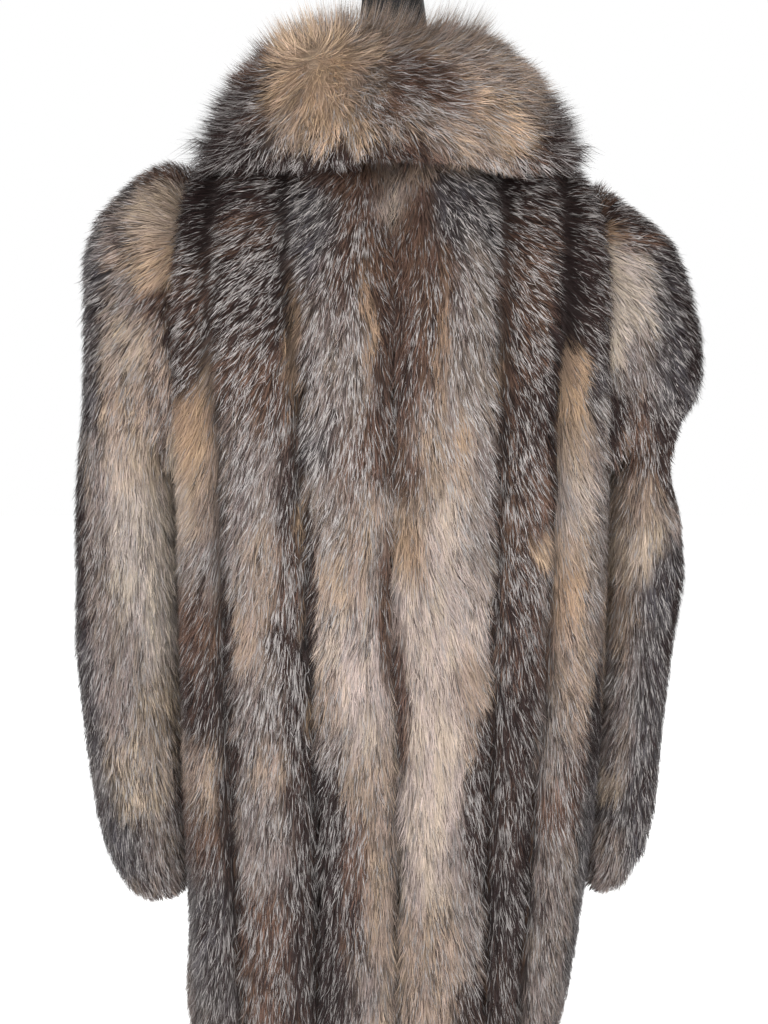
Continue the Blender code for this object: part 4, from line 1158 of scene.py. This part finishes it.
# %% Dye a hair from root to tip
GUARD_DEPTH = (1.15, -0.10, 0.22)  # by the dark share, always, and thrown
GUARD_PALE = 0.46  # where a guard hair isn't black it is its underfur, this bright
BLACK_TONES = (0.7, 0.7)  # least, and how much more at most
SILVER_TONES = (0.72, 0.28)
SILVER_SHOWS = (0.40, 0.60)  # brightness of the band: always, and by the patch's silver
BAND_SILVER = (0.94, 0.18)  # how much of the band is silver, and how much more on the collar
BAND_UNDER = (0.08, -0.08)  # and how much is underfur
# A hair is darker at its root than along the rest, as painted shade deep in the fur: more so on the collar
# and where its patch holds many dark hairs.
ROOT_PALE = (0.90, -0.22)  # brightness of an underfur hair's root, and how much more on the collar
ROOT_BY_DARK = 0.45
ROOT_GUARD = 0.85
BAND_GUARD = 1.4
TIP_SILVER = 0.62
TIP_UNDER = 0.9


def dye(node, roots, points, member, rng):
    """Colours at each hair's root, band and tip with painted shade at the root and in the seams, its dark
    share, and whether it is banded.
    """
    count = len(points)
    fluffy = 1.0 if node == "collar" else 0.0
    under, dark, silver = fur_at(node, points)
    under = dye_underfur(points, under, dark, fluffy, member, rng)
    share, is_dark, is_silver = throw_kinds(points, dark, silver, member, rng)
    # painted shade in a seam's furrow, laid on root, band and tip alike
    shade = furrow_shade(node, roots)[:, None]
    by_share, always, thrown = GUARD_DEPTH
    depth = np.clip(share * by_share + always + rng.normal(0.0, thrown, count), 0.0, 1.0)[:, None]
    black = COLOURS["dark"] * (BLACK_TONES[0] + BLACK_TONES[1] * rng.random((count, 1)))
    guard = black * depth + under * GUARD_PALE * (1.0 - depth)
    bright = COLOURS["silver"] * (SILVER_TONES[0] + SILVER_TONES[1] * rng.random((count, 1)))
    bright *= SILVER_SHOWS[0] + SILVER_SHOWS[1] * np.clip(silver, 0.0, 1.0)[:, None]
    bright = (bright * (BAND_SILVER[0] + BAND_SILVER[1] * fluffy)
              + under * (BAND_UNDER[0] + BAND_UNDER[1] * fluffy))
    pale = ROOT_PALE[0] + ROOT_PALE[1] * fluffy
    is_dark, banded = is_dark[:, None], is_silver[:, None]
    # the root darker than the rest is painted shade deep in the fur
    root = np.where(is_dark, guard * ROOT_GUARD, under * (pale - ROOT_BY_DARK * dark[:, None])) * shade
    band = np.where(banded, bright, np.where(is_dark, guard * BAND_GUARD, under)) * shade
    tip = np.where(banded, bright * TIP_SILVER, np.where(is_dark, guard, under * TIP_UNDER)) * shade
    return root, band, tip, dark, is_silver


print("dye ready")


# %% [markdown]
# ## Hairs as faces
#
# A hair is a sliver of two faces: pointed at its root, widest past the middle and pointed at
# its tip, rising from the skin and lying over. Tens of thousands of them go into one mesh at
# once from arrays, each corner with its own colour. A UV map lays every corner out by how
# light and how warm its colour is, so one small picture could hold the shades of them all.

# %% How much hair
SEEN_HAIRS = 35.0e4  # to the square metre, on the back
OTHER_HAIRS = 10.0e4
COLLAR_HAIRS = 46.0e4
COLLAR_SEEN = (-0.12, -0.04)  # y: hidden before, in sight behind
BODY_SEEN = (-0.05, 0.03)
SKIRT_SEEN = (0.42, 0.50)  # z: hidden below, in sight above
COLLAR_REACH = 0.150  # the collar lies over what is nearer than this to the middle of the neck
COLLAR_ENDS = (1.455, 1.360)  # and higher than this, at the back and in front
UNDERSIDE = -0.30  # a face of the collar that looks further down than this carries no hair


def in_sight(node, points):
    """1 where the coat's back shows and 0 in front and near the hem."""
    if node == "collar":
        return ease(*COLLAR_SEEN, points[:, 1])
    return ease(*BODY_SEEN, points[:, 1]) * ease(*SKIRT_SEEN, points[:, 2])


def under_collar(points):
    """Whether the collar lies over a point of the body."""
    near = np.hypot(points[:, 0], points[:, 1]) < COLLAR_REACH
    return near & (points[:, 2] > np.where(points[:, 1] > 0.0, *COLLAR_ENDS))


def scatter(node, corners, normals, rng):
    """Random places on the furred faces, closer together where they show."""
    a, b, c = corners[:, 0], corners[:, 1], corners[:, 2]
    area = 0.5 * np.linalg.norm(np.cross(b - a, c - a), axis=1)
    middle = corners.mean(axis=1)
    most = COLLAR_HAIRS if node == "collar" else SEEN_HAIRS
    number = area * (OTHER_HAIRS + (most - OTHER_HAIRS) * in_sight(node, middle))
    if node == "collar":
        number = np.where(normals[:, :, 2].mean(axis=1) < UNDERSIDE, 0.0, number)
    elif not node.startswith("sleeve"):
        number = np.where(under_collar(middle), 0.0, number)
    count = int(number.sum())
    pick = rng.choice(len(area), size=count, p=number / number.sum())
    u, v = rng.random(count), rng.random(count)
    flip = u + v > 1
    u, v = np.where(flip, 1 - u, u), np.where(flip, 1 - v, v)
    parts = np.stack([1 - u - v, u, v], axis=1)[:, :, None]
    return (corners[pick] * parts).sum(axis=1), unit((normals[pick] * parts).sum(axis=1))


print("hairs to the square metre:", SEEN_HAIRS, "on the back,", COLLAR_HAIRS, "on the collar")


# %% Locks
LOCK_SIZE = np.array([0.0065, 0.0065, 0.011])
LOCK_WOBBLE = 0.7  # of a lock's size
WOBBLE_LUMPS = 0.012


def locks(roots, seed):
    """Which lock each hair belongs to, and the middle of that lock."""
    wobble = np.stack([drift(roots, WOBBLE_LUMPS, seed + k) for k in range(3)], axis=1)
    cell = np.floor(roots / LOCK_SIZE + wobble * LOCK_WOBBLE).astype(np.int64)
    member = np.unique(cell_key(cell), return_inverse=True)[1].reshape(-1)
    number = np.bincount(member)
    middle = np.stack([np.bincount(member, roots[:, k]) / number for k in range(3)], axis=1)
    return member, middle[member]


print("locks ready")

# %% Where hair must end
# How far tips may pass a lower edge; those of the right sleeve stop short of it
PAST_EDGE = {"collar": 0.010, "sleeve_left": 0.004, "sleeve_right": -0.003}
BODY_PAST_EDGE = 0.006
SHORTEST = 0.008
LEAST_FALL = 0.05
COLLAR_BACK = 0.02
# x, how high the tips of the collar's hair end at the back
COLLAR_TIPS = np.array([
    (-0.16, 1.420),
    (-0.10, 1.422),
    (-0.05, 1.430),
    (0.02, 1.430),
    (0.08, 1.424),
    (0.16, 1.428),
])


def cut_lengths(node, roots, way, length, lowest):
    """Shorter hair near a lower edge, so that tips end just past it."""
    fall = np.maximum(-way[:, 2], LEAST_FALL)
    edge = np.full(len(roots), lowest - PAST_EDGE.get(node, BODY_PAST_EDGE))
    if node == "collar":
        edge = np.where(roots[:, 1] > COLLAR_BACK, np.interp(roots[:, 0], *COLLAR_TIPS.T), edge)
    return np.minimum(length, np.maximum((roots[:, 2] - edge) / fall, SHORTEST))


print("tips of the collar end at", COLLAR_TIPS[:, 1])

# %% One mesh of hairs
ROLL = 0.35  # radians by which a sliver is turned about its length
BEND = 0.06  # how far its tip strays sideways, of its length
WIDEST = (0.60, 0.76)  # where it is widest, of its length
LEAN_AT_WIDEST = 0.4
RISE_AT_TIP = 1.05
SHADED_SIDE = 0.93
SLIVER = np.array([0, 2, 1, 1, 2, 3])  # its two faces: root, right, left, and left, right, tip
LIGHTNESS = np.array([0.30, 0.60, 0.10])
CHART_EDGE = 0.03
CHART_SPREAD = 0.003


def sliver_spots(roots, normals, way, length, width, rise, stand, lean, start, rng):
    """Four vertices a hair: where it clears the fur, both sides of its widest place, its tip."""
    count = len(roots)
    side = unit(np.cross(way, normals))
    roll = rng.normal(0.0, ROLL, count)[:, None]
    side = side * np.cos(roll) + normals * np.sin(roll)
    bend = rng.normal(0.0, BEND, count)[:, None]
    widest = rng.uniform(*WIDEST, count)[:, None]
    middle = roots + way * (length[:, None] * widest) + normals * rise[:, None] + lean * LEAN_AT_WIDEST
    tip = roots + way * length[:, None] + side * (bend * length[:, None])
    tip += normals * (rise * RISE_AT_TIP + stand)[:, None] + lean
    half = side * (width[:, None] * 0.5)
    clear = roots + (middle - roots) * start[:, None]
    return np.stack([clear, middle - half, middle + half, tip], axis=1).reshape(-1, 3)


def lay_chart(mesh, shade, loops, rng):
    """A UV map that lays every corner out by how light and how warm its colour is."""
    light = shade @ LIGHTNESS
    warmth = shade[:, 0] - shade[:, 2]
    chart = np.stack([light / light.max(), (warmth - warmth.min()) / np.ptp(warmth)], axis=1)
    chart = CHART_EDGE + (1.0 - 2.0 * CHART_EDGE) * chart
    chart = chart + rng.uniform(-CHART_SPREAD, CHART_SPREAD, chart.shape)
    uv = mesh.uv_layers.new(name="OFBake")
    uv.data.foreach_set("uv", chart[loops].astype(np.float32).reshape(-1))


def weave_hairs(name, spots, colours, rng):
    """One mesh of slivers, from four vertices a hair and the colours of its root, band and tip."""
    count = len(spots) // 4
    root, band, end = colours
    shade = np.stack([root, band, band * SHADED_SIDE, end], axis=1).reshape(-1, 3)
    shade = np.clip(shade, 0.0, 1.0)
    loops = (np.arange(count)[:, None] * 4 + SLIVER[None, :]).reshape(-1)
    mesh = bpy.data.meshes.new(name)
    mesh.vertices.add(len(spots))
    mesh.vertices.foreach_set("co", spots.astype(np.float32).reshape(-1))
    mesh.loops.add(len(loops))
    mesh.loops.foreach_set("vertex_index", loops.astype(np.int32))
    mesh.polygons.add(count * 2)
    mesh.polygons.foreach_set("loop_start", np.arange(0, len(loops), 3, dtype=np.int32))
    lay_tone(mesh, shade)
    lay_chart(mesh, shade, loops, rng)
    mesh.update(calc_edges=True)
    mesh.validate()
    mesh.shade_smooth()
    return add_object(name, mesh)


print("weaver ready")

# %% [markdown]
# ## Finishes
#
# Hair is slightly glossy along its length; its colours come from the corners. The underfur is
# matt and deep. The leather side inside the coat is brown suede. The form is covered in black
# jersey, and its cap, pole and base are black satin metal.

# %% Hair
hair_finish, tree, shader, place = new_finish("fox_hair")
tone = place.node("ShaderNodeAttribute", {"attribute_name": "tone"})
tree.links.new(tone.socket, shader.inputs["Base Color"])
shader.inputs["Roughness"].default_value = 0.6
shader.inputs["Specular IOR Level"].default_value = 0.18
print("hair finish ready")

# %% Underfur and suede
PELT_SHADOW = tint(50, 40, 36)
SUEDE_DARK = tint(70, 52, 42)
SUEDE_LIGHT = tint(104, 80, 64)

pelt_finish, tree, shader, place = new_finish("underfur")
dyed = place.node("ShaderNodeAttribute", {"attribute_name": "tone"})
fine = place.node("ShaderNodeTexNoise", Vector=place, Scale=420.0, Detail=3.0)
# Fine noise flecks the underfur up to half way to PELT_SHADOW, as painted shadow between the hairs.
shadow_flecked = (fine * 0.5).mix(dyed, PELT_SHADOW)
tree.links.new(shadow_flecked.socket, shader.inputs["Base Color"])
bumped = place.node("ShaderNodeBump", Strength=0.8, Distance=0.002, Height=fine)
tree.links.new(bumped.socket, shader.inputs["Normal"])
shader.inputs["Roughness"].default_value = 0.95

suede, tree, shader, place = new_finish("suede")
cloudy = place.node("ShaderNodeTexNoise", Vector=place, Scale=22.0, Detail=5.0, Roughness=0.65)
nap = place.node("ShaderNodeTexNoise", Vector=place, Scale=700.0, Detail=3.0)
hide = cloudy.mix(SUEDE_DARK, SUEDE_LIGHT)
tree.links.new(hide.socket, shader.inputs["Base Color"])
bumped = place.node("ShaderNodeBump", Strength=0.5, Distance=0.0008, Height=nap)
tree.links.new(bumped.socket, shader.inputs["Normal"])
shader.inputs["Roughness"].default_value = 0.92
print("underfur and suede ready")

# %% Jersey and satin metal
JERSEY_DARK = tint(20, 20, 22)
JERSEY_LIGHT = tint(34, 33, 35)
SATIN_DARK = tint(16, 16, 17)
SATIN_LIGHT = tint(30, 30, 31)
LEAST_ROUGH = 0.26
WEAR_ROUGHENS = 0.22

jersey, tree, shader, place = new_finish("black_jersey")
knit = place.node("ShaderNodeTexNoise", Vector=place, Scale=900.0, Detail=2.0)
cloud = place.node("ShaderNodeTexNoise", Vector=place, Scale=9.0, Detail=3.0)
black = cloud.mix(JERSEY_DARK, JERSEY_LIGHT)
tree.links.new(black.socket, shader.inputs["Base Color"])
bumped = place.node("ShaderNodeBump", Strength=0.35, Distance=0.0006, Height=knit)
tree.links.new(bumped.socket, shader.inputs["Normal"])
shader.inputs["Roughness"].default_value = 0.72

satin, tree, shader, place = new_finish("black_satin_metal")
wear = place.node("ShaderNodeTexNoise", Vector=place, Scale=35.0, Detail=6.0)
painted = wear.mix(SATIN_DARK, SATIN_LIGHT)
tree.links.new(painted.socket, shader.inputs["Base Color"])
tree.links.new((wear * WEAR_ROUGHENS + LEAST_ROUGH).socket, shader.inputs["Roughness"])
shader.inputs["Metallic"].default_value = 0.4
FORM_FINISHES = {"form_torso": jersey, "form_cap": satin, "form_pole": satin, "form_base": satin}
for name, finish in FORM_FINISHES.items():
    mesh = nodes[name].data
    mesh.materials.clear()
    mesh.materials.append(finish)
print("form finishes ready")

# %% [markdown]
# ## Dressing the frame
#
# Now each wall is dressed in turn. The back, the collar and the backs of the sleeves carry the
# densest and finest hair; the fronts and the low parts carry fewer, wider ones.

# %% Sizes of each pelt
# node: width and length of its cut, in metres
CUTS = {
    "back_skin_1": (0.075, 1.26),
    "back_skin_2": (0.090, 1.30),
    "back_skin_3": (0.095, 1.32),
    "back_skin_4": (0.105, 1.32),
    "back_skin_5": (0.070, 1.30),
    "back_skin_6": (0.080, 1.27),
    "front_left_skin_1": (0.080, 1.26),
    "front_left_skin_2": (0.085, 1.30),
    "front_left_skin_3": (0.090, 1.28),
    "front_right_skin_1": (0.080, 1.26),
    "front_right_skin_2": (0.085, 1.30),
    "front_right_skin_3": (0.090, 1.28),
    "side_skin_left": (0.220, 0.93),
    "side_skin_right": (0.230, 0.93),
    "sleeve_left": (0.440, 0.80),
    "sleeve_right": (0.430, 0.78),
    "collar": (0.860, 0.22),
}
print("pelts to dress:", len(CUTS))


# %% How long and how full the hair is
LENGTH_HEIGHTS = (1.15, 1.30)
LENGTHS = (0.036, 0.031)  # at those heights: longer below, shorter at the shoulders
LENGTH_THROW = 0.12
LENGTH_LIMITS = (0.012, 0.060)
DARK_SHORTER = 0.010
HIDDEN_LONGER = 0.30  # hair that isn't in sight is sparser, so it is longer
HIDDEN_WIDER = 0.95  # and wider
WIDTHS = (0.0005, 0.0009)
DARK_WIDER = 0.0001


def body_lengths(height, darkness, hidden, rng):
    """Lengths thrown for each hair, before the collar and the sleeves change theirs."""
    length = rng.normal(1.0, LENGTH_THROW, len(height)) * np.interp(height, LENGTH_HEIGHTS, LENGTHS)
    return (length - DARK_SHORTER * darkness) * (1.0 + HIDDEN_LONGER * hidden)


print("hair is", LENGTHS[0], "m long below the shoulders")

# %% Where the collar and the sleeves differ
COLLAR_LONGER = 1.15
WHORL_SHORTER = 0.40
TUFT_LONGER = 0.30  # the tuft at the collar's left corner
COLLAR_NARROWER = 0.80
SIDES_FULLER = 1.4  # how much further than most the collar's hair stands
TOP_FULLER = 2.0
TUFT_FULLER = 3.5
TOP_MIDDLE = 0.03
HEAD_SHORTER = 0.45  # at the head of a sleeve
NIP_SHORTER = 0.60  # in the nip below the right sleeve's bulge
NIP_FLATTER = 0.75
# Where each of these sets in and where it is whole
TUFT_HEIGHTS = (1.49, 1.46)
TUFT_ASIDE = (0.14, 0.17)
TUFT_BEHIND = (0.0, 0.05)
SIDES_ASIDE = (0.10, 0.15)
SIDES_HEIGHTS = (1.55, 1.53)
TOP_HEIGHTS = (1.525, 1.555)
TOP_ACROSS = (0.10, 0.08)
HEAD_HEIGHTS = (1.385, 1.43)
NIP_FROM_BELOW = (1.12, 1.15)
NIP_FROM_ABOVE = (1.25, 1.20)
NIP_ASIDE = (-0.26, -0.29)


def collar_hair(roots, length):
    """Length of the collar's hair, and how many times as far as most it stands."""
    x, y, z = roots.T
    tuft = ease(*TUFT_HEIGHTS, z) * ease(*TUFT_ASIDE, x) * ease(*TUFT_BEHIND, y)
    length = length * (COLLAR_LONGER * (1.0 - WHORL_SHORTER * whorl_near(roots)))
    sides = ease(*SIDES_ASIDE, np.abs(x)) * ease(*SIDES_HEIGHTS, z)
    top = ease(*TOP_HEIGHTS, z) * ease(*TOP_ACROSS, np.abs(x - TOP_MIDDLE))
    fullness = 1.0 + SIDES_FULLER * sides + TOP_FULLER * top + TUFT_FULLER * tuft
    return length * (1.0 + TUFT_LONGER * tuft), fullness


def sleeve_hair(roots, length):
    """Length of a sleeve's hair, and how far it rises, of the usual."""
    x, _, z = roots.T
    nip = ease(*NIP_FROM_BELOW, z) * ease(*NIP_FROM_ABOVE, z) * ease(*NIP_ASIDE, x)
    length = length * (1.0 - HEAD_SHORTER * ease(*HEAD_HEIGHTS, z)) * (1.0 - NIP_SHORTER * nip)
    return length, 1.0 - NIP_FLATTER * nip


print("the collar's hair is", COLLAR_LONGER, "times as long")

# %% How the hair stands, and how it gathers
LENGTH_FROM = 0.016  # how far from its root a hair's patch is read for its length, in metres
COLOUR_FROM = 0.65  # and for its colours, of its length
RISES = (0.003, 0.0095)  # how far a hair's widest place rises from the skin
RISE_IN_SEAM = 0.45  # of the whole
STANDS = (0.0, 0.0045)  # how much further its tip stands
COLLAR_STANDS = 2.2  # times as far
SEAM_WIDTH = 0.012
LEAN = 0.25  # how far a tip leans to the middle of its lock, of the way there
DARK_LEAN = 0.40  # and further, by its dark share
BURIED = 0.6  # how much of a banded hair, up to its band, is lost in the fur
BURIED_HEIGHTS = (1.00, 1.25)
BURIED_SHARES = (0.4, 1.0)  # at those heights: less so low down


def comb_hairs(node, roots, outward, low_edge, seed, rng):
    """The vertices of a node's hairs, four each, and their colours."""
    count = len(roots)
    height = roots[:, 2]
    member, middle = locks(roots, seed)
    way = lie(node, roots, outward, member, rng)
    hidden = 1.0 - in_sight(node, roots)
    _, darkness, _ = fur_at(node, roots + way * LENGTH_FROM)
    length = body_lengths(height, darkness, hidden, rng)
    width = rng.uniform(*WIDTHS, count) + DARK_WIDER * darkness
    rises = np.ones(count)
    stands = np.ones(count)
    if node == "collar":
        length, fullness = collar_hair(roots, length)
        width *= COLLAR_NARROWER
        stands *= COLLAR_STANDS * fullness
    elif node.startswith("sleeve"):
        length, rises = sleeve_hair(roots, length)
    elif node.startswith(("back", "front")):
        _, seam = across_skin(roots)
        off_seam = ease(0.0, SEAM_WIDTH, seam)
        rises *= RISE_IN_SEAM + (1.0 - RISE_IN_SEAM) * off_seam
        stands *= off_seam
    length = cut_lengths(node, roots, way, np.clip(length, *LENGTH_LIMITS), low_edge)
    width *= 1.0 + HIDDEN_WIDER * hidden
    rise = rng.uniform(*RISES, count) * rises
    stand = rng.uniform(*STANDS, count) * stands
    coloured_at = roots + way * (length * COLOUR_FROM)[:, None]
    *colours, dark, banded = dye(node, roots, coloured_at, member, rng)
    start = np.where(banded, BURIED * np.interp(height, BURIED_HEIGHTS, BURIED_SHARES), 0.0)
    lean = (middle - roots) * (LEAN + DARK_LEAN * dark)[:, None]
    return sliver_spots(roots, outward, way, length, width, rise, stand, lean, start, rng), colours


print("combing ready")


# %% Dress one wall
def dress(node, seed):
    """A pelt with its hair, tied to the body."""
    rng = np.random.default_rng(seed)
    pelt, corners, normals = make_pelt(node)
    pelt.data.materials.append(suede)
    pelt.data.materials.append(pelt_finish)
    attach(pelt, "root")
    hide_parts(node)
    slot = "fur_collar" if node == "collar" else "fur_sleeve" if node.startswith("sleeve") else "fur_body"
    roots, outward = scatter(node, corners, normals, rng)
    spots, colours = comb_hairs(node, roots, outward, corners[:, :, 2].min(), seed, rng)
    hair = weave_hairs("hair_" + node, spots, colours, rng)
    hair.data.materials.append(hair_finish)
    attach(hair, "root")
    return pelt, hair


# %% Dress every wall
FIRST_SEED = 100

triangles = 0
for number, (node, cut) in enumerate(CUTS.items()):
    pelt, hair = dress(node, FIRST_SEED + number)
    made = sum(len(p.vertices) - 2 for piece in (pelt, hair) for p in piece.data.polygons)
    triangles += made
    print(f"{node}: {made} triangles")
print("all fur:", triangles, "triangles")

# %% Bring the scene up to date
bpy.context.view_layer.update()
